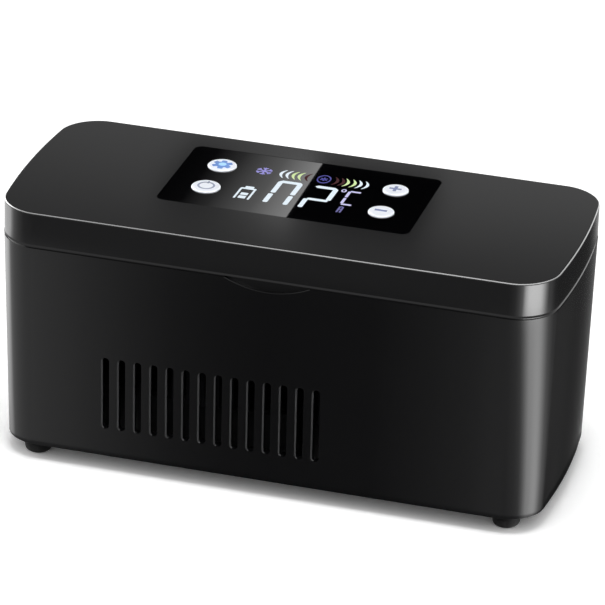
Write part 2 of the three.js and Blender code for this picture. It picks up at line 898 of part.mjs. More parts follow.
// Fan frame: a square with a round bore, four struts and the bearing plate
function fanFrame() {
  const square = slab(outline(fanSize / 2, fanSize / 2, fanCorner), 0, fanDepth);
  const holes = fourCorners.map(([signX, signY]) =>
    upright(
      fanHoleRadius,
      -overrun,
      fanDepth + overrun,
      signX * fanHoleOffset,
      signY * fanHoleOffset,
      smallSides,
    ),
  );
  const ring = cut(square, [upright(fanBore, -overrun, fanDepth + overrun), ...holes]);
  const strutLength = 2 * (fanBore + (fanSize / 2 - fanBore) / 2);
  const carrier = unite([
    upright(fanCarrierRadius, 0, fanCarrierThickness),
    block(strutLength, fanStrutWidth, 0, fanCarrierThickness),
    block(fanStrutWidth, strutLength, 0, fanCarrierThickness),
  ]);
  const bearing = upright(aroundFlats(shaftRadius + runningGap), -overrun, fanCarrierThickness + overrun);
  return cut(unite([ring, carrier]), [bearing]);
}

// Fan rotor: a hub on a short shaft, and tilted blades trimmed to a circle
function fanRotor() {
  const hubBottom = fanCarrierThickness + rotorLift;
  const hub = upright(rotorHubRadius, hubBottom, hubBottom + rotorHubHeight);
  const shaft = upright(shaftRadius, seat, hubBottom + overrun);
  const bladeLength = rotorRadius - rotorHubRadius + 2 * bladeThickness;
  const middle = hubBottom + rotorHubHeight / 2;
  const blades = Array.from({ length: bladeCount }, (_, i) => {
    const geometry = new THREE.BoxGeometry(bladeLength, bladeThickness, bladeChord);
    geometry.rotateX(bladeTilt);
    geometry.translate(rotorRadius - bladeLength / 2 + bladeThickness, 0, middle);
    geometry.rotateZ((i * 2 * Math.PI) / bladeCount);
    return solid(geometry);
  });
  const circle = upright(rotorRadius, hubBottom, hubBottom + rotorHubHeight);
  return unite([unite(blades).intersect(circle), hub, shaft]);
}

// Battery holder: an open box with end contacts, a rib between the cells and four board posts
function batteryHolder() {
  const middleX = (holderLeft + holderRight) / 2;
  const length = holderRight - holderLeft;
  const bottom = holderBottom;
  const outer = block(length, 2 * holderHalfY, bottom, bottom + holderHeight, middleX, 0);
  const inner = block(
    length - 2 * holderWall,
    2 * (holderHalfY - holderWall),
    bottom + holderWall,
    bottom + holderHeight + overrun,
    middleX,
    0,
  );
  const contacts = bothSides.flatMap((side) => {
    const y = side * (cellRadius + clearance / 2);
    const inside = holderLeft + holderWall / 2;
    return [
      sideways(holderContactRadius, inside, holderLeft + holderWall + holderContact, y, cellMiddle, smallSides),
      sideways(
        holderContactRadius,
        holderRight - holderWall - holderContact,
        holderRight - holderWall / 2,
        y,
        cellMiddle,
        smallSides,
      ),
    ];
  });
  const posts = postColumns.flatMap((x) =>
    postRows.flatMap((y) => [
      upright(postRadius, bottom, boardBottom - seat, x, y, smallSides),
      upright(postPin, bottom + holderWall, boardTop + postPinHeight, x, y, smallSides),
    ]),
  );
  return unite([cut(outer, [inner]), ...contacts, ...posts]);
}

// Lithium cell lying along x, its button end to the right
function batteryCell() {
  return unite([
    sideways(cellRadius, 0, cellLength, 0, 0),
    sideways(cellButtonRadius, cellLength / 2, cellLength + cellButtonHeight, 0, 0, smallSides),
  ]);
}

// Control board with its chip, coil and capacitors
function controlBoard() {
  const middleY = (boardFront + boardRear) / 2;
  const sheet = block(boardLength, boardRear - boardFront, boardBottom, boardTop, boardMiddleX, middleY);
  const holes = postColumns.flatMap((x) =>
    postRows.map((y) =>
      upright(postPin + clearance, boardBottom - overrun, boardTop + overrun, x, y, smallSides),
    ),
  );
  const sunk = boardBottom + boardThickness / 2;
  const chipY = boardFront + chipWidth;
  const parts = [
    block(chipLength, chipWidth, sunk, boardTop + chipHeight, boardMiddleX, chipY),
    upright(coilRadius, sunk, boardTop + coilHeight, boardMiddleX + 2 * coilRadius, 0, smallSides),
    upright(capacitorRadius, sunk, boardTop + capacitorHeight, boardMiddleX - chipLength, chipY, smallSides),
    upright(
      capacitorRadius,
      sunk,
      boardTop + capacitorHeight,
      boardMiddleX + 2 * chipLength - capacitorRadius,
      middleY,
      smallSides,
    ),
  ];
  return unite([cut(sheet, holes), ...parts]);
}

// Power inlet socket, its mouth towards the rear at y = 0
function dcJack() {
  const bodyRear = -wall;
  const body = unite([
    block(jackWidth, jackLength, -jackHeight / 2, jackHeight / 2, 0, bodyRear - jackLength / 2),
    endways(jackBarrel, bodyRear - overrun, 0, 0, 0),
  ]);
  const bored = cut(body, [endways(jackBore, -jackBoreDepth, overrun, 0, 0, smallSides)]);
  return bored.add(endways(jackPin, -jackBoreDepth - overrun, -wall / 2, 0, 0, leadSides));
}

// Lid: skirt and top with a recess for the panel, a display window, button holes, posts and bosses
function lidShell() {
  const shell = skin([
    [plan(wall), ceiling],
    [plan(wall), 0],
    [plan(0), 0],
    [plan(0), lidHeight - lidChamfer],
    [plan(lidChamfer), lidHeight],
  ]);
  const bosses = fourCorners.map(([signX, signY]) =>
    upright(lidBossRadius, linerTop + seat, ceiling + seat, signX * lidScrewX, signY * lidScrewY, smallSides),
  );
  const posts = lidPostPlaces().flatMap(([x, y]) => [
    upright(lidPostRadius, lidBoardTop + seat, ceiling + seat, x, y, smallSides),
    upright(postPin, lidBoardBottom - seat, ceiling, x, y, smallSides),
  ]);
  const pilots = fourCorners.map(([signX, signY]) =>
    upright(
      screwRadius + clearance,
      linerTop - overrun,
      linerTop + seat + lidScrewReach,
      signX * lidScrewX,
      signY * lidScrewY,
      smallSides,
    ),
  );
  const recess = outline(panelLength / 2 + panelGap, panelWidth / 2 + panelGap, panelCorner + panelGap);
  const recessCut = slab(
    recess.map(([x, y]) => [x + panelX, y + panelY]),
    recessFloor,
    lidHeight + overrun,
  );
  const window = block(
    displayLength - 2 * windowMargin,
    displayWidth - 2 * windowMargin,
    ceiling - overrun,
    lidHeight,
    displayX,
    panelY,
  );
  const holes = Object.values(buttons).map(([x, y, radius]) =>
    upright(radius + buttonGap, ceiling - overrun, lidHeight, x, y),
  );
  const axisZ = hingeZ - lidBottom;
  const body = hinged(unite([shell, ...bosses, ...posts]), "lid", axisZ, lidGussetHeight);
  const leadHole = tube(lidLeadRoute(), displayLeadRadius, clearance);
  const boreEnd = leadBarrel * leadBoreShare;
  const leadBore = sideways(displayLeadRadius + clearance, -clearance, boreEnd, hingeY, axisZ, leadSides);
  return cut(body, [...pilots, recessCut, window, ...holes, leadHole, leadBore]);
}

// Where the posts that hold the display board stand
function lidPostPlaces() {
  const reachX = panelLength / 2 - lidBoardMargin - lidPostInset;
  const reachY = panelWidth / 2 - lidBoardMargin - lidPostInset;
  return fourCorners.map(([signX, signY]) => [panelX + signX * reachX, panelY + signY * reachY]);
}

// Glossy panel in the lid's recess, with a hole for each button
function displayPanel() {
  const sheet = slab(outline(panelLength / 2, panelWidth / 2, panelCorner), panelBottom, panelTop);
  const holes = Object.values(buttons).map(([x, y, radius]) =>
    upright(radius + buttonGap, panelBottom - overrun, panelTop + overrun, x - panelX, y - panelY),
  );
  return cut(sheet, holes);
}

// Board that carries the display and the four switches
function displayBoard() {
  const length = panelLength - 2 * lidBoardMargin;
  const width = panelWidth - 2 * lidBoardMargin;
  const sheet = block(length, width, lidBoardBottom, lidBoardTop, panelX, panelY);
  const holes = lidPostPlaces().map(([x, y]) =>
    upright(postPin + clearance, lidBoardBottom - overrun, lidBoardTop + overrun, x, y, smallSides),
  );
  return cut(sheet, holes);
}

// Push button: a slightly domed cap, the flange that keeps it in, and the stem to its switch
function buttonCap(radius) {
  const capTop = lidHeight + buttonProud - panelSink;
  const flangeRadius = radius + buttonFlange;
  return turned([
    [0, stemBottom],
    [buttonStemRadius, stemBottom],
    [buttonStemRadius, flangeBottom],
    [flangeRadius, flangeBottom],
    [flangeRadius, flangeTop],
    [radius, flangeTop],
    [radius, capTop - buttonDome],
    [radius - buttonDome, capTop],
    [0, capTop],
  ]);
}

// Tact switch body with a well for its plunger
function switchBody() {
  const body = block(switchSize, switchSize, switchBottom, switchBottom + switchHeight);
  const well = upright(
    plungerRadius + clearance,
    switchBottom + switchFloor,
    switchBottom + switchHeight + overrun,
    0,
    0,
    smallSides,
  );
  return cut(body, [well]);
}

// Inner cover of the lid: a plate, and a plug that fills the mouth of the case
function lidLiner() {
  const plugHalfX = mouthHalfX - plugGap;
  const plugHalfY = mouthHalfY - plugGap;
  const plug = (inset) => outline(plugHalfX - inset, plugHalfY - inset, trayCorner - inset);
  const plate = slab(plan(wall + clearance), linerBottom, linerTop);
  const body = plate.add(slab(plug(0), plugBottom, linerBottom + linerThickness / 2));
  const grooveTop = linerBottom - gasketProud + gasketHeight + seat;
  const groove = gasketRing(clearance, linerBottom - overrun, grooveTop);
  const screwCuts = fourCorners.flatMap(([signX, signY]) => {
    const [x, y] = [signX * lidScrewX, signY * lidScrewY];
    const headDepth = linerBottom + screwHeadHeight + seat;
    return [
      upright(screwHeadRadius + clearance, linerBottom - overrun, headDepth, x, y, smallSides),
      upright(screwRadius + clearance, linerBottom - overrun, linerTop + overrun, x, y, smallSides),
    ];
  });
  const pocket = block(
    magnetLength + 2 * seat,
    magnetWidth + 2 * seat,
    linerBottom + magnetSkin,
    linerTop + overrun,
    0,
    magnetY,
  );
  return cut(body, [
    slab(plug(linerWall), plugBottom + linerWall, linerTop + overrun),
    groove,
    ...screwCuts,
    pocket,
    tube(lidLeadRoute(), displayLeadRadius, clearance),
  ]);
}

// A ring round the mouth, grown by margin on both faces
function gasketRing(margin, bottom, top) {
  const inner = gasketOffset - margin;
  const outer = gasketOffset + gasketWidth + margin;
  const ring = (grow) => outline(mouthHalfX + grow, mouthHalfY + grow, trayCorner + grow);
  return skin(
    [
      [ring(outer), bottom],
      [ring(outer), top],
      [ring(inner), top],
      [ring(inner), bottom],
    ],
    true,
  );
}

// Foam slab inside the lid's plug
function lidFoam() {
  const inset = plugGap + linerWall + clearance;
  const points = outline(mouthHalfX - inset, mouthHalfY - inset, trayCorner - linerWall - clearance);
  return slab(points, plugBottom + linerWall + seat, linerTop);
}

// Routes of the leads inside the base
function moduleLeadRoute(side) {
  const y = side * leadPairGap;
  const startX = coolerX + moduleSize / 2 + clearance;
  const level = moduleBottom + moduleThickness / 2;
  const sinkEdge = coolerX + sinkLength / 2;
  return [
    [startX, y, level],
    [startX + leadSlack, y, level],
    [sinkEdge, y, level],
    [sinkEdge + leadSlack, y, level - leadSlack / 2],
    [boardLeft + leadSlack, y, boardTop + 2 * leadSlack],
    [boardLeft + leadSlack + leadRadius, y, boardTop + clearance],
  ];
}

function fanLeadRoute() {
  const startX = coolerX + fanSize / 2 + clearance;
  const y = fanSize / 4;
  return [
    [startX, y, fanBottom + fanDepth / 2],
    [startX + leadSlack, y, fanBottom + fanDepth / 2],
    [holderLeft - leadSlack, y, (fanBottom + fanDepth / 2 + boardTop) / 2],
    [holderLeft - leadSlack / 2, y, boardBottom],
    [boardLeft - clearance, y, boardTop - boardThickness / 2],
  ];
}

function batteryLeadRoute() {
  const y = -cellRadius;
  const startZ = holderBottom + holderHeight / 2;
  return [
    [holderLeft - clearance, y, startZ],
    [holderLeft - leadSlack + leadRadius, y, startZ],
    [holderLeft - leadSlack + leadRadius, y, startZ + leadSlack],
    [holderLeft - leadSlack + leadRadius, y, boardBottom - leadSlack],
    [holderLeft, y, boardBottom + leadRadius],
    [boardLeft - clearance, y, boardTop - boardThickness / 2],
  ];
}

function sensorLeadRoute() {
  return [
    [sensorX, 0, blockTop - sensorHeight - clearance],
    [sensorX, 0, foamBottom],
    [sensorX, 0, boardTop + clearance],
  ];
}

// Assembly: the case and, in nested groups, its cooler, its power parts, the lid and the buttons
const coolingCase = new THREE.Group();
coolingCase.position.y = -rearOverhang / 2;

const base = new THREE.Group();
coolingCase.add(base);
place(base, "housing", housing(), blackGlossAbs);
place(base, "bottom_cover", bottomCover(), blackSatinAbs);
place(base, "top_frame", topFrame(), blackSatinAbs);
place(base, "cold_tray", coldTray(), brushedAluminium);
place(base, "foam_insulation", foamInsulation(), whiteFoam);
fourCorners.forEach(([signX, signY], i) => {
  const [x, y] = [signX * footX, signY * footY];
  place(base, `foot_${i + 1}`, foot(), blackRubber, x, y, 0);
  const reach = bottomScrewReach - footBoreDepth;
  place(base, `bottom_screw_${i + 1}`, screw(reach), zincSteel, x, y, footBoreDepth - seat);
});
bothSides.forEach((side, i) => {
  const half = caseBarrel / 2 + clearance + lidBarrel;
  const pin = sideways(pinRadius, -half, half, 0, 0, barrelSides);
  place(base, `hinge_pin_${i + 1}`, pin, zincSteel, side * hingeX, hingeY, hingeZ);
});
const caseMagnet = block(magnetLength, magnetWidth, 0, magnetHeight);
place(base, "case_magnet", caseMagnet, nickelMagnet, 0, magnetY, frameTop - magnetSkin - seat - magnetHeight);

const cooler = new THREE.Group();
cooler.position.x = coolerX;
base.add(cooler);
place(cooler, "cold_block", coldBlock(), brushedAluminium, 0, 0, blockBottom);
place(cooler, "cooling_module", coolingModule(), whiteCeramic, 0, 0, moduleBottom);
place(cooler, "heat_sink", heatSink(), blackAnodised);
bothSides.forEach((side, i) => {
  const reach = sinkBase + 2 * seat + moduleThickness + sinkScrewBite;
  place(cooler, `heat_sink_screw_${i + 1}`, screw(reach), zincSteel, side * sinkScrewOffset, 0, finTop - seat);
});
place(cooler, "fan_frame", fanFrame(), greyNylon, 0, 0, fanBottom);
place(cooler, "fan_rotor", fanRotor(), blackSatinAbs, 0, 0, fanBottom);

const power = new THREE.Group();
base.add(power);
place(power, "battery_holder", batteryHolder(), greyNylon);
bothSides.forEach((side, i) => {
  const y = side * (cellRadius + clearance / 2);
  place(power, `battery_cell_${i + 1}`, batteryCell(), blueSleeve, cellLeft, y, cellMiddle);
});
place(power, "control_board", controlBoard(), greenBoard);
const jackMouth = caseWidth / 2 - lidOverhang - lean(inletZ) - clearance;
place(power, "dc_jack", dcJack(), greyNylon, inletX, jackMouth, inletZ);
const sensor = block(sensorLength, sensorWidth, -sensorHeight, 0);
place(power, "temperature_sensor", sensor, blackSatinAbs, sensorX, 0, blockTop);

const leads = new THREE.Group();
base.add(leads);
place(leads, "module_lead_red", tube(moduleLeadRoute(1), leadRadius), redPvc);
place(leads, "module_lead_black", tube(moduleLeadRoute(-1), leadRadius), blackPvc);
place(leads, "fan_lead", tube(fanLeadRoute(), leadRadius), blackPvc);
place(leads, "battery_lead", tube(batteryLeadRoute(), leadRadius), redPvc);
place(leads, "sensor_lead", tube(sensorLeadRoute(), leadRadius), greyPvc);
place(leads, "display_lead", tube(caseLeadRoute(), displayLeadRadius), greyPvc);

const lid = new THREE.Group();
lid.position.z = lidBottom;
coolingCase.add(lid);
place(lid, "lid_shell", lidShell(), blackGlossAbs);
place(lid, "display_panel", displayPanel(), blackGlass, panelX, panelY, 0);
place(lid, "display_board", displayBoard(), greenBoard);
const display = block(displayLength, displayWidth, lidBoardTop + seat, ceiling - clearance);
place(lid, "display_module", display, blackSatinAbs, displayX, panelY, 0);
place(lid, "lid_liner", lidLiner(), blackSatinAbs);
place(lid, "lid_foam", lidFoam(), whiteFoam);
const gasketBottom = linerBottom - gasketProud;
place(lid, "lid_gasket", gasketRing(0, gasketBottom, gasketBottom + gasketHeight), blackRubber);
const lidMagnet = block(magnetLength, magnetWidth, 0, magnetHeight);
place(lid, "lid_magnet", lidMagnet, nickelMagnet, 0, magnetY, linerBottom + magnetSkin + seat);
fourCorners.forEach(([signX, signY], i) => {
  const seatZ = linerBottom + screwHeadHeight;
  const [x, y] = [signX * lidScrewX, signY * lidScrewY];
  place(lid, `lid_screw_${i + 1}`, screw(lidScrewReach), zincSteel, x, y, seatZ);
});
place(lid, "lid_display_lead", tube(lidLeadRoute(), displayLeadRadius), greyPvc);

const keys = new THREE.Group();
lid.add(keys);
for (const [name, [x, y, radius]] of Object.entries(buttons)) {
  const word = name.replace("_button", "");
  place(keys, name, buttonCap(radius), whiteAbs, x, y, 0);
  place(keys, `${word}_plunger`, upright(plungerRadius, plungerBottom, plungerTop, 0, 0, smallSides), greyNylon, x, y, 0);
  place(keys, `${word}_switch`, switchBody(), greyNylon, x, y, 0);
}

export default coolingCase;
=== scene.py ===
"""Looks of a portable insulin cooling case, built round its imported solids.

Meshes are drawn in millimetres in the case's own frame, with the front towards -Y and the ground at
z = 0, and turned to metres when they are finished.
"""

import logging
import math
from collections.abc import Callable, Iterable, Sequence
from dataclasses import dataclass
from enum import Enum
from typing import ClassVar

import bmesh
import bpy
from mathutils import Matrix, Vector


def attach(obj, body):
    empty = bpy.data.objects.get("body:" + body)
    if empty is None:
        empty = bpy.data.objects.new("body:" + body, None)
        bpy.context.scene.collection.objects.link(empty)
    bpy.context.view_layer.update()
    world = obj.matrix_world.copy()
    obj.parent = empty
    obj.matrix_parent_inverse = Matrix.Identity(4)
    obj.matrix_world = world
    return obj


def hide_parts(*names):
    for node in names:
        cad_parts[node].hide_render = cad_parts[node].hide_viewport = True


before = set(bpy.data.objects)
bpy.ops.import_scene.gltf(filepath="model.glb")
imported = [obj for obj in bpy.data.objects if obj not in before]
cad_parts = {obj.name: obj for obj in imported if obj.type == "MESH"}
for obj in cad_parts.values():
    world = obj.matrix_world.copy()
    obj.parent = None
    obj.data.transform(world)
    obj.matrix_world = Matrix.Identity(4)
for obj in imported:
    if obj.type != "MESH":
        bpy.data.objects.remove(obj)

LOG = logging.getLogger("cooling_case")
MM = 0.001
SHARP_ANGLE = math.radians(38)
LEVEL_SHARE = 0.9999

Flat = tuple[float, float]
Point = tuple[float, float, float]
Ring = list[Point]


# Sizes


@dataclass(frozen=True)
class CaseSizes:
    """Driving sizes of the case in millimetres, as its solids have them."""

    length: float = 212.0
    width: float = 90.0
    height: float = 95.0
    lid_height: float = 12.65
    seam_gap: float = 0.35
    corner_radius: float = 14.0
    end_bow: float = 3.2
    wall: float = 2.4
    lid_overhang: float = 0.1
    draft_inset: float = 1.56
    foot_height: float = 6.0
    cover_thickness: float = 2.5
    clearance: float = 0.3
    seat: float = 0.2
    overrun: float = 2.0
    hinge_out: float = 0.5
    barrel_radius: float = 2.2
    screw_radius: float = 1.25
    screw_head_radius: float = 2.6
    screw_head_height: float = 1.6
    screw_crown: float = 0.7
    thread_pitch: float = 0.9
    thread_depth: float = 0.2
    thread_share: float = 0.9
    thread_end: float = 1.0
    screw_lead: float = 0.4
    cross_depth: float = 0.9
    edge_round: float = 0.3
    skin: float = 0.02
    magnet_length: float = 24.0
    magnet_width: float = 4.4
    magnet_inset: float = 8.5

    @property
    def bottom(self) -> float:
        """Level of the case's underside."""
        return self.foot_height

    @property
    def lid_top(self) -> float:
        """Level of the lid's top face."""
        return self.foot_height + self.height

    @property
    def lid_bottom(self) -> float:
        """Level of the lid's lower edge."""
        return self.lid_top - self.lid_height

    @property
    def rim_top(self) -> float:
        """Level of the base's rim."""
        return self.lid_bottom - self.seam_gap

    @property
    def hinge_y(self) -> float:
        """Distance of the hinge's axis behind the middle."""
        return self.width / 2 + self.hinge_out

    @property
    def hinge_z(self) -> float:
        """Level of the hinge's axis."""
        return (self.rim_top + self.lid_bottom) / 2

    @property
    def shift(self) -> float:
        """How far the case's own frame lies in front of the part's."""
        return -(self.hinge_out + self.barrel_radius) / 2

    def lean(self, z: float) -> float:
        """How far the base wall has leaned in at level z."""
        return self.draft_inset * (self.rim_top - z) / (self.rim_top - self.bottom)

    def outer_inset(self, z: float) -> float:
        """Inset of the base wall's outer face at level z."""
        return self.lid_overhang + self.lean(z)

    def inner_inset(self, z: float) -> float:
        """Inset of the base wall's inner face at level z."""
        return self.outer_inset(z) + self.wall


CASE = CaseSizes()
CORNERS = ((-1, -1), (1, -1), (1, 1), (-1, 1))
SIDES = (-1, 1)

# Facets round holes and pilots, screws and pins, larger round pieces, and the button caps
HOLE_SIDES = 24
SCREW_SIDES = 32
ROUND_SIDES = 64
CAP_SIDES = 96


# Mesh tools


class Axis(Enum):
    """The direction that a turned shape is turned about."""

    X = "x"
    Y = "y"
    Z = "z"


class Cut(Enum):
    """How two bodies are combined."""

    AWAY = "DIFFERENCE"
    JOIN = "UNION"


def arc(centre: Flat, radius: float, start: float, end: float, steps: int = 5) -> list[Flat]:
    """Draws points along an arc.

    Args:
        centre: Middle of the arc.
        radius: Its radius.
        start: Angle of the first point in degrees.
        end: Angle of the last point in degrees.
        steps: Number of chords.

    Returns:
        The points in order.
    """
    angles = [math.radians(start + (end - start) * i / steps) for i in range(steps + 1)]
    return [(centre[0] + radius * math.cos(a), centre[1] + radius * math.sin(a)) for a in angles]


def rounded(
    half_x: float, half_y: float, radius: float, bow: float = 0.0, steps: int = 16
) -> list[Flat]:
    """Draws a rounded rectangle seen from above, whose short ends may bow outwards.

    Args:
        half_x: Half its length.
        half_y: Half its width.
        radius: Corner radius.
        bow: How far the corners fall back from the middle of each short end.
        steps: Chords in each corner.

    Returns:
        The outline, anticlockwise.
    """
    end_shares = [i / 6 for i in range(-5, 6)] if bow else []
    points: list[Flat] = []
    for quarter, (sign_x, sign_y) in enumerate(((1, 1), (-1, 1), (-1, -1), (1, -1))):
        centre = (sign_x * (half_x - radius), sign_y * (half_y - radius))
        points += arc(centre, radius, quarter * 90, quarter * 90 + 90, steps)
        if sign_x * sign_y < 0:
            points += [(sign_x * half_x, sign_x * share * (half_y - radius)) for share in end_shares]
    return [(x - math.copysign(bow, x) * (y / half_y) ** 2, y) for x, y in points]


def plan(inset: float) -> list[Flat]:
    """Draws the case's plan, drawn in from the lid's own.

    Args:
        inset: How far it is drawn in.

    Returns:
        The outline.
    """
    half_x = CASE.length / 2 - inset
    half_y = CASE.width / 2 - inset
    return rounded(half_x, half_y, CASE.corner_radius - inset, CASE.end_bow)


def level(points: Iterable[Flat], z: float) -> Ring:
    """Lifts an outline to level z."""
    return [(x, y, z) for x, y in points]


def moved(points: Iterable[Flat], x: float, y: float) -> list[Flat]:
    """Shifts an outline by x and y."""
    return [(px + x, py + y) for px, py in points]


def loft(rings: Sequence[Ring], closed: bool = False) -> bmesh.types.BMesh:
    """Skins rings of points in order.

    Args:
        rings: Rings with as many points each.
        closed: Joins the last ring to the first, where it would otherwise cap both ends.

    Returns:
        A closed body.
    """
    body = bmesh.new()
    rows = [[body.verts.new(point) for point in ring] for ring in rings]
    pairs = list(zip(rows, rows[1:]))
    if closed:
        pairs.append((rows[-1], rows[0]))
    else:
        body.faces.new(rows[0][::-1])
        body.faces.new(rows[-1])
    for low, high in pairs:
        for i in range(len(low)):
            j = (i + 1) % len(low)
            body.faces.new((low[i], low[j], high[j], high[i]))
    bmesh.ops.recalc_face_normals(body, faces=body.faces)
    return body


def plan_loft(profile: Iterable[Flat], closed: bool = False) -> bmesh.types.BMesh:
    """Skins the case's plan along a profile of inset and level."""
    return loft([level(plan(inset), z) for inset, z in profile], closed)


def prism(points: Sequence[Flat], bottom: float, top: float) -> bmesh.types.BMesh:
    """Raises an outline from bottom to top."""
    return loft([level(points, bottom), level(points, top)])


def block(low: Point, high: Point) -> bmesh.types.BMesh:
    """Fills the box between two corners."""
    points = [(low[0], low[1]), (high[0], low[1]), (high[0], high[1]), (low[0], high[1])]
    return prism(points, low[2], high[2])


def turned(
    profile: Iterable[Flat],
    axis: Axis = Axis.Z,
    centre: Flat = (0.0, 0.0),
    sides: int = 48,
    closed: bool = False,
) -> bmesh.types.BMesh:
    """Turns a profile of radius and place along an axis.

    Args:
        profile: Radius and place of each ring.
        axis: Direction of the axis.
        centre: Where the axis passes, in the other two coordinates.
        sides: Facets round the axis.
        closed: Makes a tube, whose last ring joins its first.

    Returns:
        A closed body.
    """
    rings: list[Ring] = []
    for radius, along in profile:
        circle = arc(centre, radius, 0, 360 - 360 / sides, sides - 1)
        if axis is Axis.X:
            rings.append([(along, u, v) for u, v in circle])
        elif axis is Axis.Y:
            rings.append([(u, along, v) for u, v in circle])
        else:
            rings.append([(u, v, along) for u, v in circle])
    return loft(rings, closed)


def merged(bodies: Iterable[bmesh.types.BMesh]) -> bmesh.types.BMesh:
    """Puts several bodies side by side in one mesh.

    Args:
        bodies: The bodies, used up by this.

    Returns:
        One mesh with all of them.
    """
    whole = bmesh.new()
    for body in bodies:
        part = bpy.data.meshes.new("part")
        body.to_mesh(part)
        body.free()
        whole.from_mesh(part)
        bpy.data.meshes.remove(part)
    return whole


def loose_object(body: bmesh.types.BMesh) -> bpy.types.Object:
    """Makes a scratch object that holds a body while it is combined.

    Args:
        body: The body, used up by this.

    Returns:
        The object, linked to the scene.
    """
    mesh = bpy.data.meshes.new("scratch")
    body.to_mesh(mesh)
    body.free()
    holder = bpy.data.objects.new("scratch", mesh)
    bpy.context.scene.collection.objects.link(holder)
    return holder


def combined(
    body: bmesh.types.BMesh, others: Iterable[bmesh.types.BMesh], how: Cut = Cut.AWAY
) -> bmesh.types.BMesh:
    """Cuts bodies out of another, or joins them to it.

    Args:
        body: The body that is worked on.
        others: Bodies that don't touch each other.
        how: Whether they are cut away or joined.

    Returns:
        The result.
    """
    target = loose_object(body)
    tool = loose_object(merged(others))
    step = target.modifiers.new("step", "BOOLEAN")
    step.operation = how.value
    step.solver = "EXACT"
    step.object = tool
    graph = bpy.context.evaluated_depsgraph_get()
    mesh = bpy.data.meshes.new_from_object(target.evaluated_get(graph))
    result = bmesh.new()
    result.from_mesh(mesh)
    for holder in (target, tool):
        old = holder.data
        bpy.data.objects.remove(holder)
        bpy.data.meshes.remove(old)
    bpy.data.meshes.remove(mesh)
    return result


def part_levels(mesh: bpy.types.Mesh) -> None:
    """Marks the rims of level faces sharp, so that the rounds beside them don't bend their shading.

    Args:
        mesh: The mesh, already shaded smooth.
    """
    levels: set[tuple[int, int]] = set()
    others: set[tuple[int, int]] = set()
    for face in mesh.polygons:
        side = levels if abs(face.normal.z) > LEVEL_SHARE else others
        side.update(face.edge_keys)
    for edge in mesh.edges:
        if edge.key in levels and edge.key in others:
            edge.use_edge_sharp = True


def new_object(body: bmesh.types.BMesh, name: str, material: bpy.types.Material) -> bpy.types.Object:
    """Turns a body in the case's millimetres into a shaded object in metres.

    Args:
        body: The body, used up by this.
        name: Name of the object.
        material: Its material.

    Returns:
        The object, linked to the scene.
    """
    body.transform(Matrix.Scale(MM, 4) @ Matrix.Translation((0, CASE.shift, 0)))
    mesh = bpy.data.meshes.new(name)
    body.to_mesh(mesh)
    body.free()
    mesh.shade_smooth()
    mesh.set_sharp_from_angle(angle=SHARP_ANGLE)
    part_levels(mesh)
    mesh.materials.append(material)
    piece = bpy.data.objects.new(name, mesh)
    bpy.context.scene.collection.objects.link(piece)
    return piece


# Material tools


def linear(code: str) -> tuple[float, float, float, float]:
    """Turns an sRGB hex colour to a linear one.

    Args:
        code: The colour, such as 1a2b3c.

    Returns:
        Linear red, green, blue and alpha.
    """
    parts = [int(code[i : i + 2], 16) / 255 for i in (0, 2, 4)]
    red, green, blue = (p / 12.92 if p <= 0.04045 else ((p + 0.055) / 1.055) ** 2.4 for p in parts)
    return (red, green, blue, 1.0)


def per_metre(size: float) -> float:
    """Gives a pattern's scale from the real size of one of its features in millimetres."""
    return 1 / (size * MM)


def add_node(
    tree: bpy.types.NodeTree,
    kind: str,
    settings: dict[str, object] | None = None,
    links: dict[str, bpy.types.NodeSocket] | None = None,
) -> bpy.types.Node:
    """Adds a node with its settings and links.

    Args:
        tree: Tree that gets the node.
        kind: Blender's name of the node type.
        settings: Values of its properties or inputs, by name.
        links: Sockets that feed its inputs, by name or number.

    Returns:
        The node.
    """
    node = tree.nodes.new(kind)
    for name, value in (settings or {}).items():
        if hasattr(node, name):
            setattr(node, name, value)
        else:
            node.inputs[int(name) if name.isdigit() else name].default_value = value
    for name, socket in (links or {}).items():
        tree.links.new(socket, node.inputs[int(name) if name.isdigit() else name])
    return node


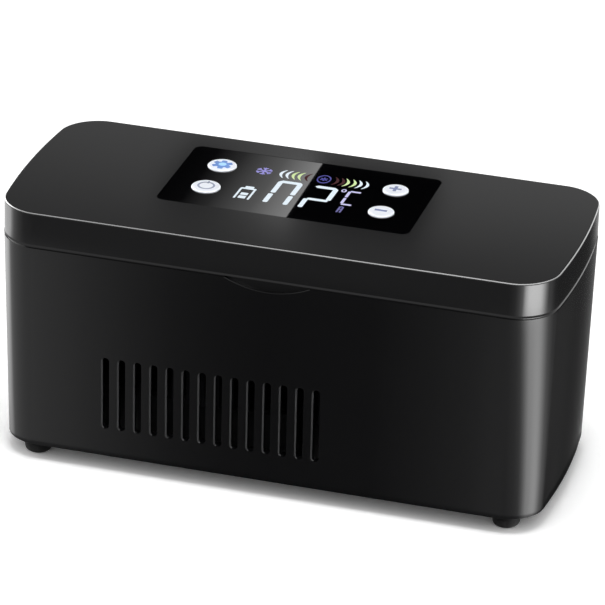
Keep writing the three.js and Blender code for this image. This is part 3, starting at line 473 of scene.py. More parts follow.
@dataclass(frozen=True)
class Finish:
    """A finish, with the values that its shader starts from."""

    name: str
    colour: str
    roughness: float = 0.5
    specular: float = 0.5
    metallic: float = 0.0

    def material(self) -> bpy.types.Material:
        """Makes the material at its first use and finds it again later.

        Returns:
            The material.
        """
        known = bpy.data.materials.get(self.name)
        if known:
            return known
        made = bpy.data.materials.new(self.name)
        made.use_nodes = True
        made.diffuse_color = linear(self.colour)
        tree = made.node_tree
        shader = tree.nodes["Principled BSDF"]
        shader.inputs["Base Color"].default_value = linear(self.colour)
        shader.inputs["Roughness"].default_value = self.roughness
        shader.inputs["Specular IOR Level"].default_value = self.specular
        shader.inputs["Metallic"].default_value = self.metallic
        self.pattern(tree, shader)
        return made

    def pattern(self, tree: bpy.types.NodeTree, shader: bpy.types.Node) -> None:
        """Adds what the surface shows beyond one colour."""
        raise NotImplementedError

    def place(self, tree: bpy.types.NodeTree) -> bpy.types.NodeSocket:
        """Gives the place on the piece in metres, which moves with the piece."""
        return add_node(tree, "ShaderNodeTexCoord").outputs["Object"]

    def noise(self, tree: bpy.types.NodeTree, size: float, detail: float = 2.0) -> bpy.types.NodeSocket:
        """Gives an even noise.

        Args:
            tree: Tree that gets the nodes.
            size: Width of a blot in millimetres.
            detail: How many finer noises are laid over it.

        Returns:
            The noise, from 0 to 1.
        """
        settings = {"Scale": per_metre(size), "Detail": detail}
        node = add_node(tree, "ShaderNodeTexNoise", settings, {"Vector": self.place(tree)})
        return node.outputs["Fac"]

    def spread(
        self, tree: bpy.types.NodeTree, source: bpy.types.NodeSocket, low: float, high: float
    ) -> bpy.types.NodeSocket:
        """Spreads a value from 0..1 over low..high."""
        settings = {"To Min": low, "To Max": high}
        return add_node(tree, "ShaderNodeMapRange", settings, {"Value": source}).outputs["Result"]

    def tint(
        self, tree: bpy.types.NodeTree, source: bpy.types.NodeSocket, first: str, second: str
    ) -> bpy.types.NodeSocket:
        """Runs from one colour to another as a value goes from 0 to 1."""
        settings = {"data_type": "RGBA", "6": linear(first), "7": linear(second)}
        return add_node(tree, "ShaderNodeMix", settings, {"0": source}).outputs[2]

    def bump(
        self, tree: bpy.types.NodeTree, shader: bpy.types.Node, height: bpy.types.NodeSocket, depth: float
    ) -> None:
        """Raises the surface by a height map whose full swing is depth millimetres."""
        node = add_node(tree, "ShaderNodeBump", {"Distance": depth * MM}, {"Height": height})
        tree.links.new(node.outputs["Normal"], shader.inputs["Normal"])


@dataclass(frozen=True)
class MouldedPlastic(Finish):
    """Injection-moulded plastic: the mould's own grain, and a gloss that wanders slightly with it."""

    grain: float = 0.6
    grain_depth: float = 0.002
    gloss_swing: float = 0.03
    shade: str = ""

    def pattern(self, tree: bpy.types.NodeTree, shader: bpy.types.Node) -> None:
        """Adds the grain, the wandering gloss and a faint second shade.

        Args:
            tree: Tree that gets the nodes.
            shader: The shader that they feed.
        """
        cloud = self.noise(tree, 40 * self.grain)
        low = self.roughness - self.gloss_swing
        gloss = self.spread(tree, cloud, low, self.roughness + self.gloss_swing)
        tree.links.new(gloss, shader.inputs["Roughness"])
        colour = self.tint(tree, cloud, self.colour, self.shade or self.colour)
        tree.links.new(colour, shader.inputs["Base Color"])
        self.bump(tree, shader, self.noise(tree, self.grain), self.grain_depth)


@dataclass(frozen=True)
class DrawnMetal(Finish):
    """Metal with fine lines along one direction, left by drawing, brushing or extrusion."""

    line: float = 0.25
    stretch: float = 40.0
    along: Axis = Axis.X
    shade: str = ""
    depth: float = 0.003

    def pattern(self, tree: bpy.types.NodeTree, shader: bpy.types.Node) -> None:
        """Adds lines that are stretched along the axis.

        Args:
            tree: Tree that gets the nodes.
            shader: The shader that they feed.
        """
        factor = 1 / self.stretch
        scale = {Axis.X: (factor, 1, 1), Axis.Y: (1, factor, 1), Axis.Z: (1, 1, factor)}[self.along]
        mapping = add_node(tree, "ShaderNodeMapping", {"Scale": scale}, {"Vector": self.place(tree)})
        settings = {"Scale": per_metre(self.line), "Detail": 3.0}
        lines = add_node(tree, "ShaderNodeTexNoise", settings, {"Vector": mapping.outputs["Vector"]})
        source = lines.outputs["Fac"]
        gloss = self.spread(tree, source, self.roughness - 0.08, self.roughness + 0.1)
        tree.links.new(gloss, shader.inputs["Roughness"])
        tree.links.new(self.tint(tree, source, self.colour, self.shade), shader.inputs["Base Color"])
        self.bump(tree, shader, source, self.depth)


@dataclass(frozen=True)
class PlatedSteel(Finish):
    """Plated steel: small soft-edged crystals with slightly different shades."""

    crystal: float = 0.8
    shade: str = ""
    depth: float = 0.002

    def pattern(self, tree: bpy.types.NodeTree, shader: bpy.types.Node) -> None:
        """Adds the plating's crystals in shade and gloss.

        Args:
            tree: Tree that gets the nodes.
            shader: The shader that they feed.
        """
        settings = {"Scale": per_metre(self.crystal)}
        cells = add_node(tree, "ShaderNodeTexVoronoi", settings, {"Vector": self.place(tree)})
        grey = add_node(tree, "ShaderNodeSeparateColor", None, {"Color": cells.outputs["Color"]})
        source = grey.outputs[0]
        gloss = self.spread(tree, source, self.roughness - 0.05, self.roughness + 0.08)
        tree.links.new(gloss, shader.inputs["Roughness"])
        tree.links.new(self.tint(tree, source, self.colour, self.shade), shader.inputs["Base Color"])
        self.bump(tree, shader, self.noise(tree, self.crystal / 2), self.depth)


@dataclass(frozen=True)
class BeadFoam(Finish):
    """Expanded foam, moulded from beads: pale domed beads with darker joints between them."""

    bead: float = 3.0
    shade: str = ""
    depth: float = 0.12

    def pattern(self, tree: bpy.types.NodeTree, shader: bpy.types.Node) -> None:
        """Adds the beads as domes with shaded joints.

        Args:
            tree: Tree that gets the nodes.
            shader: The shader that they feed.
        """
        settings = {"Scale": per_metre(self.bead), "feature": "DISTANCE_TO_EDGE"}
        cells = add_node(tree, "ShaderNodeTexVoronoi", settings, {"Vector": self.place(tree)})
        edge = {"From Max": 0.12, "interpolation_type": "SMOOTHSTEP"}
        dome = add_node(tree, "ShaderNodeMapRange", edge, {"Value": cells.outputs["Distance"]})
        source = dome.outputs["Result"]
        tree.links.new(self.tint(tree, source, self.shade, self.colour), shader.inputs["Base Color"])
        self.bump(tree, shader, source, self.depth)


@dataclass(frozen=True)
class CircuitBoard(Finish):
    """Green solder mask over copper tracks, which show as lighter lines under the lacquer."""

    track: float = 1.1
    shade: str = ""
    depth: float = -0.03

    def pattern(self, tree: bpy.types.NodeTree, shader: bpy.types.Node) -> None:
        """Adds the tracks as the joints of a square cell pattern.

        Args:
            tree: Tree that gets the nodes.
            shader: The shader that they feed.
        """
        settings = {
            "Scale": per_metre(4 * self.track),
            "feature": "DISTANCE_TO_EDGE",
            "distance": "CHEBYCHEV",
            "Randomness": 0.7,
        }
        cells = add_node(tree, "ShaderNodeTexVoronoi", settings, {"Vector": self.place(tree)})
        edge = {"From Min": 0.05, "From Max": 0.09}
        inside = add_node(tree, "ShaderNodeMapRange", edge, {"Value": cells.outputs["Distance"]})
        source = inside.outputs["Result"]
        tree.links.new(self.tint(tree, source, self.shade, self.colour), shader.inputs["Base Color"])
        self.bump(tree, shader, source, self.depth)


@dataclass(frozen=True)
class LitWindow(Finish):
    """A lit part of the display: printed film with light behind it, slightly uneven."""

    strength: float = 1.0
    shade: str = ""
    blot: float = 1.6
    film: str = "0a0a0c"

    def pattern(self, tree: bpy.types.NodeTree, shader: bpy.types.Node) -> None:
        """Adds the light, with the film's slight unevenness.

        Args:
            tree: Tree that gets the nodes.
            shader: The shader that they feed.
        """
        source = self.noise(tree, self.blot)
        glow = self.tint(tree, source, self.shade, self.colour)
        shader.inputs["Base Color"].default_value = linear(self.film)
        tree.links.new(glow, shader.inputs["Emission Color"])
        shader.inputs["Emission Strength"].default_value = self.strength


@dataclass(frozen=True)
class PrintedInk(Finish):
    """Pad-printed ink on a button: flat, slightly broken colour."""

    shade: str = ""
    blot: float = 0.5

    def pattern(self, tree: bpy.types.NodeTree, shader: bpy.types.Node) -> None:
        """Adds the ink's broken density."""
        source = self.noise(tree, self.blot)
        tree.links.new(self.tint(tree, source, self.shade, self.colour), shader.inputs["Base Color"])


# Gloss-moulded ABS: nearly black, a clear reflection that a faint orange peel softens
GLOSS_ABS = MouldedPlastic("gloss_moulded_black_abs", "0e0e0f", 0.09, 0.3, 0, 1.4, 0.0008, 0.015, "101011")
# Spark-eroded ABS: an even satin grain that spreads every highlight
SATIN_ABS = MouldedPlastic("satin_moulded_black_abs", "1a1a1b", 0.5, 0.4, 0, 0.5, 0.02, 0.05, "1e1e1f")
# Hard-coated cast acrylic: a deep black with a mirror's reflection
PANEL_ACRYLIC = MouldedPlastic(
    "hard_coated_black_acrylic", "030304", 0.012, 0.6, 0, 6, 0.0001, 0.004, "040405"
)
# Moulded white ABS of the caps: bright, cool white with a soft sheen
WHITE_ABS = MouldedPlastic("moulded_white_abs", "e6e9ef", 0.34, 0.45, 0, 0.5, 0.004, 0.04, "dfe3eb")
# Glass-filled nylon: dark grey and slightly streaky
GREY_NYLON = MouldedPlastic("glass_filled_grey_nylon", "0f1011", 0.75, 0.15, 0, 0.4, 0.02, 0.06, "131415")
# Glass-filled black nylon of the fan: dull, so that hardly any of it shows through the vents
FAN_NYLON = MouldedPlastic("dull_black_fan_nylon", "050506", 0.85, 0.05, 0, 0.4, 0.02, 0.04, "070708")
# Slot edges: the black plastic left dull, which catches some light from all sides, and painted a lighter
# grey as a painted highlight, so that they show as a thin grey line
SLOT_EDGE_HIGHLIGHT = MouldedPlastic("slot_edge_painted_highlight", "303031", 0.7, 0.1, 0, 0.4, 0.004, 0.04, "343435")
# Black display bezel of tinted polycarbonate
DISPLAY_FACE = MouldedPlastic("tinted_polycarbonate", "08080a", 0.2, 0.5, 0, 2, 0.001, 0.02, "0b0b0e")
# Moulded rubber: dull, with a fine grain
RUBBER = MouldedPlastic("moulded_black_rubber", "0b0b0b", 0.7, 0.16, 0, 0.35, 0.03, 0.06, "101010")
# Heat-shrunk blue sleeve: smooth, slightly wrinkled
CELL_SLEEVE = MouldedPlastic("heat_shrunk_blue_sleeve", "2a62a8", 0.35, 0.5, 0, 3, 0.03, 0.05, "2558a0")
# Sintered alumina of the thermoelectric module
ALUMINA = MouldedPlastic("sintered_white_alumina", "e4e2dc", 0.6, 0.5, 0, 0.3, 0.01, 0.05, "dad8d0")
# Extruded PVC insulation of the leads
RED_PVC = MouldedPlastic("extruded_red_pvc", "b3221f", 0.45, 0.5, 0, 0.4, 0.004, 0.05, "a01c1a")
BLACK_PVC = MouldedPlastic("extruded_black_pvc", "1d1d1d", 0.45, 0.5, 0, 0.4, 0.004, 0.05, "242424")
GREY_PVC = MouldedPlastic("extruded_grey_pvc", "77797c", 0.45, 0.5, 0, 0.4, 0.004, 0.05, "6c6e71")
# Drawn aluminium: satin, with the die's lines along the tray
DRAWN_ALUMINIUM = DrawnMetal("drawn_aluminium", "84878b", 0.36, 0.5, 1, 0.25, 40, Axis.X, "777a7e")
# Milled aluminium of the cold block
MILLED_ALUMINIUM = DrawnMetal("milled_aluminium", "bcbfc3", 0.28, 0.5, 1, 0.4, 25, Axis.Y, "a8abb0")
# Black-anodised extruded aluminium: dark, with the extrusion's lines along the fins
ANODISED = DrawnMetal("black_anodised_aluminium", "1b1b1d", 0.5, 0.5, 1, 0.3, 40, Axis.Y, "151517")
# Zinc-plated steel of screws and pins
ZINC_STEEL = PlatedSteel("zinc_plated_steel", "b4b7bb", 0.3, 0.5, 1, 0.6, "9fa2a7")
# Nickel-plated magnets
NICKEL = PlatedSteel("nickel_plated_magnet", "c8c8c6", 0.2, 0.5, 1, 0.9, "b9b9b6")
# Moulded bead foam of the insulation
BEAD_FOAM = BeadFoam("moulded_bead_foam", "ebebe7", 0.9, 0.3, 0, 3.0, "cfcfca")
# Circuit boards under green solder mask
BOARD = CircuitBoard("green_solder_mask", "17492e", 0.35, 0.5, 0, 1.1, "2a6a45")
# Lit parts of the display
LIT_WHITE = LitWindow("lit_white_segment", "eef4fb", 0.4, 0.3, 0, 1.0, "cfe3ee")
LIT_LAVENDER = LitWindow("lit_lavender_symbol", "aaa4ec", 0.4, 0.3, 0, 0.8, "8f88dc")
LIT_PALE = LitWindow("lit_pale_lavender_symbol", "dcd9fb", 0.4, 0.3, 0, 0.85, "c6c2f4")
LIT_DIM = LitWindow("lit_dim_lavender_symbol", "6f6ab4", 0.4, 0.3, 0, 0.7, "5c58a0")
LIT_BLUE = LitWindow("lit_blue_symbol", "4340b4", 0.4, 0.3, 0, 0.8, "2c2a86")
LIT_GREEN = LitWindow("lit_pale_green_symbol", "dcefb4", 0.4, 0.3, 0, 0.95, "bfdc8c")
LIT_RED = LitWindow("lit_dark_red_symbol", "5c0b0b", 0.4, 0.05, 0, 0.5, "480909")
# Inks on the buttons
BLUE_INK = PrintedInk("printed_blue_ink", "4f7fc4", 0.45, 0.4, 0, "3d6ab0")
PALE_BLUE_INK = PrintedInk("printed_pale_blue_ink", "a9d4f4", 0.45, 0.4, 0, "93c4ec")
GREY_INK = PrintedInk("printed_grey_ink", "8791a6", 0.45, 0.4, 0, "78829a")
SLATE_INK = PrintedInk("printed_slate_ink", "5f6c94", 0.45, 0.4, 0, "525e84")


class Assembly:
    """What every sub-assembly shares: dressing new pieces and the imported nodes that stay."""

    body: str = "case"

    def piece(
        self,
        body: bmesh.types.BMesh,
        name: str,
        finish: Finish,
        slot: str,
        replaces: Sequence[str] = (),
        rides: str = "",
    ) -> bpy.types.Object:
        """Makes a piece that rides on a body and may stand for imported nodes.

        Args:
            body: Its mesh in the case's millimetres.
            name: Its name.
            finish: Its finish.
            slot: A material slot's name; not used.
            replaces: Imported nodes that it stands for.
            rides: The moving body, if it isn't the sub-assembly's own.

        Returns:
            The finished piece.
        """
        made = new_object(body, name, finish.material())
        normals = made.modifiers.new("flat_faces_first", "WEIGHTED_NORMAL")
        normals.keep_sharp = True
        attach(made, rides or self.body)
        if replaces:
            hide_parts(*replaces)
        LOG.info("%s: %d faces, %s", name, len(made.data.polygons), finish.name)
        return made

    def dress(self, names: Iterable[str], finish: Finish, edge: float = 0.2) -> None:
        """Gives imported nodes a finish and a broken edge.

        Args:
            names: The nodes.
            finish: Their finish.
            edge: Width of the broken edge in millimetres, or 0 for none.
        """
        for name in names:
            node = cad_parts[name]
            for material_slot in node.material_slots:
                material_slot.material = finish.material()
            if edge:
                bevel = node.modifiers.new("broken_edge", "BEVEL")
                bevel.width = edge * MM
                bevel.segments = 2
                bevel.limit_method = "ANGLE"
                bevel.angle_limit = math.radians(40)
            LOG.info("%s: packed node, %s", name, finish.name)


def cross_screw(place: Point, reach: float) -> bmesh.types.BMesh:
    """Makes a cross-head screw with its head below place and its threaded shank above.

    Args:
        place: Middle of the head's seat.
        reach: Length of the shank.

    Returns:
        The screw.
    """
    x, y, z = place
    head = CASE.screw_head_height
    wide = CASE.screw_head_radius
    crown = CASE.screw_crown
    lead = CASE.screw_lead
    crest = CASE.screw_radius
    root = crest - CASE.thread_depth
    edge = CASE.thread_depth / 2
    profile = [(lead, -head)] + arc((wide - crown, -head + crown), crown, 270, 360)
    profile += [(wide, -edge), (wide - edge, 0), (root, 0)]
    pitch = CASE.thread_pitch
    for turn in range(int((reach - CASE.thread_end) / pitch)):
        start = lead + turn * pitch
        profile += [(root, start), (crest, start + pitch / 2), (root, start + pitch * CASE.thread_share)]
    profile += [(root, reach - lead), (root / 2, reach)]
    shank = turned([(radius, z + along) for radius, along in profile], centre=(x, y), sides=SCREW_SIDES)
    low = z - head - CASE.overrun
    deep = z - head + CASE.cross_depth
    bar = block((x - crest, y - lead, low), (x + crest, y + lead, deep))
    across = block((x - lead, y - crest, low), (x + lead, y + crest, deep))
    return combined(shank, [combined(bar, [across], Cut.JOIN)])


# Hinge


@dataclass(frozen=True)
class Barrel:
    """One hinge barrel: whose it is, its middle and length along the axis, and its bore."""

    owner: str
    x: float
    span: float
    bore: float


@dataclass
class Hinge:
    """Barrels and pins behind the lid, with a hollow pair in the middle for the display's lead."""

    set_x: float = 60.0
    case_span: float = 10.0
    lid_span: float = 8.0
    lead_span: float = 9.0
    pin_radius: float = 1.0
    pin_round: float = 0.3
    running_gap: float = 0.06
    bore_overrun: float = 0.1
    lead_bore: float = 1.0
    case_web: float = -8.0
    lid_web: float = 6.0

    def barrels(self) -> list[Barrel]:
        """Lists all barrels, as the solids have them.

        Returns:
            The barrels of both shells.
        """
        found: list[Barrel] = []
        bore = self.pin_radius + self.running_gap
        for side in SIDES:
            found.append(Barrel("case", side * self.set_x, self.case_span, bore))
            for end in SIDES:
                x = side * self.set_x + end * ((self.case_span + self.lid_span) / 2 + CASE.clearance)
                found.append(Barrel("lid", x, self.lid_span, bore))
        lead_x = (self.lead_span + CASE.clearance) / 2
        found.append(Barrel("case", -lead_x, self.lead_span, self.lead_bore))
        found.append(Barrel("lid", lead_x, self.lead_span, self.lead_bore))
        return found

    def profile(self, web: float) -> list[Flat]:
        """Draws a barrel and its web in y and z.

        Args:
            web: Height of the web over the axis, negative where it hangs below.

        Returns:
            The outline, with the barrel as an arc and the web's straight flank as its tangent.
        """
        y, z = CASE.hinge_y, CASE.hinge_z
        foot = CASE.width / 2 - CASE.lid_overhang
        inside = CASE.width / 2 - CASE.wall / 2
        side = math.copysign(1, web)
        turn = math.degrees(math.acos(CASE.barrel_radius / math.hypot(foot - y, web)))
        aim = math.degrees(math.atan2(web, foot - y))
        rim = arc((y, z), CASE.barrel_radius, aim - side * turn, -side * 200, 28)
        return [(foot, z + web)] + rim + [(inside, z + web)]

    def rolls(self, owner: str) -> bmesh.types.BMesh:
        """Makes one shell's barrels with their webs and bores.

        Args:
            owner: The shell, case or lid.

        Returns:
            The barrels.
        """
        outline = self.profile(self.case_web if owner == "case" else self.lid_web)
        bodies: list[bmesh.types.BMesh] = []
        bores: list[bmesh.types.BMesh] = []
        for barrel in self.barrels():
            if barrel.owner == owner:
                left = barrel.x - barrel.span / 2
                right = barrel.x + barrel.span / 2
                bodies.append(loft([[(x, y, z) for y, z in outline] for x in (left, right)]))
                ends = [(barrel.bore, left - self.bore_overrun), (barrel.bore, right + self.bore_overrun)]
                bores.append(turned(ends, Axis.X, (CASE.hinge_y, CASE.hinge_z), HOLE_SIDES))
        return combined(merged(bodies), bores)

    def notches(self, owner: str) -> list[bmesh.types.BMesh]:
        """Makes the room that one shell leaves for the other's barrels.

        Args:
            owner: The shell that is cut, case or lid.

        Returns:
            One cutter for each of the other's barrels.
        """
        radius = CASE.barrel_radius + CASE.clearance
        found: list[bmesh.types.BMesh] = []
        for barrel in self.barrels():
            if barrel.owner != owner:
                reach = barrel.span / 2 + CASE.clearance
                ends = [(radius, barrel.x - reach), (radius, barrel.x + reach)]
                found.append(turned(ends, Axis.X, (CASE.hinge_y, CASE.hinge_z), SCREW_SIDES))
        return found


HINGE = Hinge()


# Base


@dataclass
class Base(Assembly):
    """The lower half: shell, cover, feet, inner frame, tray, foam and hinge pins."""

    foot_end_inset: float = 16.0
    foot_side_inset: float = 10.2
    foot_radius: float = 5.5
    foot_taper: float = 0.35
    foot_round: float = 1.9
    foot_bevel: float = 0.2
    sink_radius: float = 3.1
    sink_top: float = 3.0
    sink_low: float = 0.05
    shank_hole: float = 1.55
    screw_seat: float = 2.8
    screw_reach: float = 17.0
    boss_radius: float = 4.2
    boss_top: float = 50.2
    web_half: float = 1.5
    bottom_round: float = 0.08
    groove_depth: float = 0.45
    groove_drop: float = 1.1
    vent_count: int = 14
    vent_width: float = 2.64
    vent_shift: float = 0.68
    vent_height: float = 29.3
    vent_pitch: float = 6.185
    vent_rise: float = 11.4
    vent_middle: float = -21.3
    vent_bevel: float = 0.5
    vent_bevel_depth: float = 0.5
    slant_share: float = 0.25
    scoop_half_width: float = 17.75
    scoop_drop: float = 4.8
    scoop_depth: float = 1.4
    scoop_bevel: float = 0.4
    scoop_bevel_depth: float = 0.14
    inlet_x: float = 70.0
    inlet_z: float = 41.6
    inlet_radius: float = 4.0
    inlet_chamfer: float = 0.4
    ledge_width: float = 3.0
    ledge_thickness: float = 1.2
    frame_thickness: float = 2.9
    frame_sink: float = 0.3
    tray_half_x: float = 89.0
    tray_half_y: float = 28.5
    tray_corner: float = 7.0
    tray_wall: float = 1.2
    tray_flange: float = 4.0
    tray_bottom: float = 57.6
    tray_bend: float = 2.0
    tray_inner_bend: float = 2.6
    tray_lip_round: float = 0.6
    mouth_inset: float = 1.0
    mouth_round: float = 0.8
    magnet_skin: float = 0.6
    grille_count: int = 9
    grille_slot: float = 2.6
    grille_pitch: float = 5.4
    grille_radius: float = 26.0
    grille_round: float = 0.4

    def build(self) -> None:
        """Makes every piece of the base."""
        shell = self.piece(self.housing(), "housing_shell", GLOSS_ABS, "gloss_abs", ["housing"])
        self.paint_slot_highlights(shell)
        self.piece(self.cover(), "bottom_cover_plate", SATIN_ABS, "satin_abs", ["bottom_cover"])
        self.piece(self.top_frame(), "top_frame_plate", SATIN_ABS, "satin_abs", ["top_frame"])
        self.piece(self.tray(), "cold_tray_drawn", DRAWN_ALUMINIUM, "tray_aluminium", ["cold_tray"])
        self.feet()
        self.pins()
        self.dress(["foam_insulation"], BEAD_FOAM, 0)
        self.dress(["case_magnet"], NICKEL)

    def frame_top(self) -> float:
        """Level of the inner frame's top face."""
        return CASE.rim_top - self.frame_sink

    def housing(self) -> bmesh.types.BMesh:
        """Makes the leaning shell with its vents, scoop, inlet and hinge barrels.

        Returns:
            The shell, with a shadow groove under the lid's edge.
        """
        ledge_top = self.frame_top() - self.frame_thickness - CASE.seat
        ledge_bottom = ledge_top - self.ledge_thickness
        low = CASE.outer_inset(CASE.bottom)
        rim = CASE.lid_overhang
        groove = CASE.rim_top - self.groove_drop
        curve = self.bottom_round
        profile = arc((low + curve, CASE.bottom + curve), curve, 270, 180)
        profile += [
            (CASE.outer_inset(groove), groove),
            (rim + self.groove_depth, groove),
            (rim + self.groove_depth, CASE.rim_top),
            (rim + CASE.wall, CASE.rim_top),
            (CASE.inner_inset(ledge_top), ledge_top),
            (CASE.inner_inset(ledge_top) + self.ledge_width, ledge_top),
            (CASE.inner_inset(ledge_top) + self.ledge_width, ledge_bottom),
            (CASE.inner_inset(ledge_bottom), ledge_bottom),
            (low + CASE.wall, CASE.bottom),
        ]
        shell = combined(plan_loft(profile, closed=True), HINGE.notches("case"))
        first = self.vent_middle - (self.vent_count - 1) / 2 * self.vent_pitch
        middles = [first + i * self.vent_pitch for i in range(self.vent_count)]
        cutters = [self.vent(x, side) for side in SIDES for x in middles]
        shell = combined(shell, cutters + [self.scoop(), self.inlet()])
        bosses = [self.boss(place) for place in self.foot_places()]
        return merged([shell, HINGE.rolls("case")] + bosses)

    def inlet(self) -> bmesh.types.BMesh:
        """Makes the cutter of the chamfered inlet hole in the rear wall.

        Returns:
            The cutter.
        """
        hole = self.inlet_radius
        wide = hole + self.inlet_chamfer
        rear = CASE.width / 2 - CASE.outer_inset(self.inlet_z)
        ends = [(hole, rear - CASE.wall - CASE.overrun), (hole, rear - self.inlet_chamfer)]
        ends += [(wide, rear + CASE.skin), (wide, rear + CASE.overrun)]
        return turned(ends, Axis.Y, (self.inlet_x, self.inlet_z))

    def paint_slot_highlights(self, shell: bpy.types.Object) -> None:
        """Gives the slots' bevelled edges their own dull finish in a lighter grey: a painted highlight
        along each slot's edge.

        Args:
            shell: The finished housing.
        """
        shell.data.materials.append(SLOT_EDGE_HIGHLIGHT.material())
        reach = self.vent_count * self.vent_pitch / 2
        low = CASE.bottom + self.vent_rise - self.vent_bevel
        high = low + self.vent_height + 2 * self.vent_bevel
        # Bevel faces that face right and out of the wall get the painted highlight's lighter grey
        for face in shell.data.polygons:
            x, _, z = face.center / MM
            slanting = min(face.normal.x, abs(face.normal.y)) > self.slant_share
            if abs(x - self.vent_middle) < reach and low < z < high and slanting:
                face.material_index = 1

    def boss(self, place: Flat) -> bmesh.types.BMesh:
        """Makes one screw boss with the web that ties it to the front or rear wall.

        Args:
            place: Middle of the boss.

        Returns:
            The boss, with a pilot hole for the bottom screw.
        """
        x, y = place
        bottom = CASE.bottom + CASE.cover_thickness + CASE.clearance
        pilot = [(CASE.screw_radius, bottom - CASE.overrun), (CASE.screw_radius, self.boss_top)]
        post = combined(
            turned([(self.boss_radius, bottom), (self.boss_radius, self.boss_top)], centre=place),
            [turned(pilot, centre=place, sides=HOLE_SIDES)],
        )
        wall = math.copysign(CASE.width / 2 - CASE.inner_inset(bottom) + CASE.overrun / 2, y)
        edge = y + math.copysign(self.boss_radius - CASE.seat, y)
        near, far = sorted((edge, wall))
        low = bottom + CASE.seat
        high = self.boss_top - CASE.seat
        web = block((x - self.web_half, near, low), (x + self.web_half, far, high))
        return merged([post, web])

    def vent(self, x: float, side: int) -> bmesh.types.BMesh:
        """Makes the cutter of one upright slot, bevelled on its left.

        Args:
            x: Middle of the slot.
            side: -1 for the front wall, 1 for the rear wall.

        Returns:
            The cutter, which leans with the wall.
        """
        middle = CASE.bottom + self.vent_rise + self.vent_height / 2
        half = self.vent_width / 2
        reach = self.vent_height / 2 - half
        rings: list[Ring] = [[], [], [], []]
        for end, start in ((middle + reach, 0), (middle - reach, 180)):
            for angle in range(start, start + 181, 15):
                turn = math.radians(angle)
                bevel = self.vent_bevel * max(1 - abs(angle - 180) / 90, 0)
                stations = (
                    (half + bevel, CASE.overrun),
                    (half + bevel, 0.0),
                    (half, -self.vent_bevel_depth),
                    (half, -CASE.wall - CASE.overrun),
                )
                for ring, (radius, out) in zip(rings, stations):
                    z = end + radius * math.sin(turn)
                    y = side * (CASE.width / 2 - CASE.outer_inset(z) + out)
                    ring.append((x + self.vent_shift + radius * math.cos(turn), y, z))
        return loft(rings)

    def scoop(self) -> bmesh.types.BMesh:
        """Makes the cutter of the finger scoop in the front of the rim.

        Returns:
            The cutter, with a fine bevel at its outer edge.
        """
        radius = (self.scoop_half_width**2 + self.scoop_drop**2) / (2 * self.scoop_drop)
        middle = CASE.rim_top - self.scoop_drop + radius
        face = -CASE.width / 2 + CASE.lid_overhang
        wide = radius + self.scoop_bevel
        stations = (
            (wide, face - CASE.overrun),
            (wide, face),
            (radius, face + self.scoop_bevel_depth),
            (radius, face + self.scoop_depth),
        )
        rings: list[Ring] = []
        for out, y in stations:
            reach = math.degrees(math.acos((middle - CASE.rim_top - CASE.overrun) / out))
            rings.append([(x, y, z) for x, z in arc((0, middle), out, 270 - reach, 270 + reach, 48)])
        return loft(rings)

    def cover(self) -> bmesh.types.BMesh:
        """Makes the bottom cover with its intake slots and screw holes.

        Returns:
            The cover.
        """
        bottom = CASE.bottom
        top = bottom + CASE.cover_thickness
        inset = CASE.inner_inset(bottom) + CASE.clearance
        curve = CASE.edge_round
        plate = plan_loft(arc((inset + curve, bottom + curve), curve, 270, 180) + [(inset, top)])
        hole = CASE.screw_radius + CASE.clearance
        ends = [(hole, bottom - CASE.overrun), (hole, top + CASE.overrun)]
        cutters = [turned(ends, centre=place, sides=HOLE_SIDES) for place in self.foot_places()]
        half = self.grille_slot / 2
        flare = self.grille_round
        rows = [(flare, bottom - CASE.overrun)] + arc((flare, bottom + flare), flare, 270, 180, 2)
        rows.append((0, top + CASE.overrun))
        for i in range(self.grille_count):
            y = (i - (self.grille_count - 1) / 2) * self.grille_pitch
            reach = math.sqrt(self.grille_radius**2 - y**2) - half
            rings: list[Ring] = []
            for grow, z in rows:
                slot = arc((self.vent_middle + reach, y), half + grow, -90, 90, 10)
                slot += arc((self.vent_middle - reach, y), half + grow, 90, 270, 10)
                rings.append(level(slot, z))
            cutters.append(loft(rings))
        return combined(plate, cutters)

    def foot_places(self) -> list[Flat]:
        """Lists where the feet and the bottom screws stand.

        Returns:
            The four middles.
        """
        x = CASE.length / 2 - self.foot_end_inset
        y = CASE.width / 2 - self.foot_side_inset
        return [(sign_x * x, sign_y * y) for sign_x, sign_y in CORNERS]

    def feet(self) -> None:
        """Makes the four rubber feet and the screws in them."""
        top = CASE.foot_height - CASE.seat
        wide = self.foot_radius
        curve = self.foot_round
        edge = CASE.edge_round
        sink = self.sink_radius
        profile = [(sink, edge), (sink + self.foot_bevel, self.sink_low)]
        profile += arc((wide - self.foot_taper - curve, curve), curve, 270, 350, 8)
        profile += [(wide, top - edge), (wide - self.foot_bevel, top), (self.shank_hole, top)]
        profile += [(self.shank_hole, self.sink_top), (sink, self.sink_top)]
        for number, place in enumerate(self.foot_places(), 1):
            foot = turned(profile, centre=place, sides=ROUND_SIDES, closed=True)
            self.piece(foot, f"rubber_foot_{number}", RUBBER, "rubber", [f"foot_{number}"])
            screw = cross_screw((*place, self.screw_seat), self.screw_reach)
            self.piece(screw, f"base_screw_{number}", ZINC_STEEL, "zinc_steel", [f"bottom_screw_{number}"])

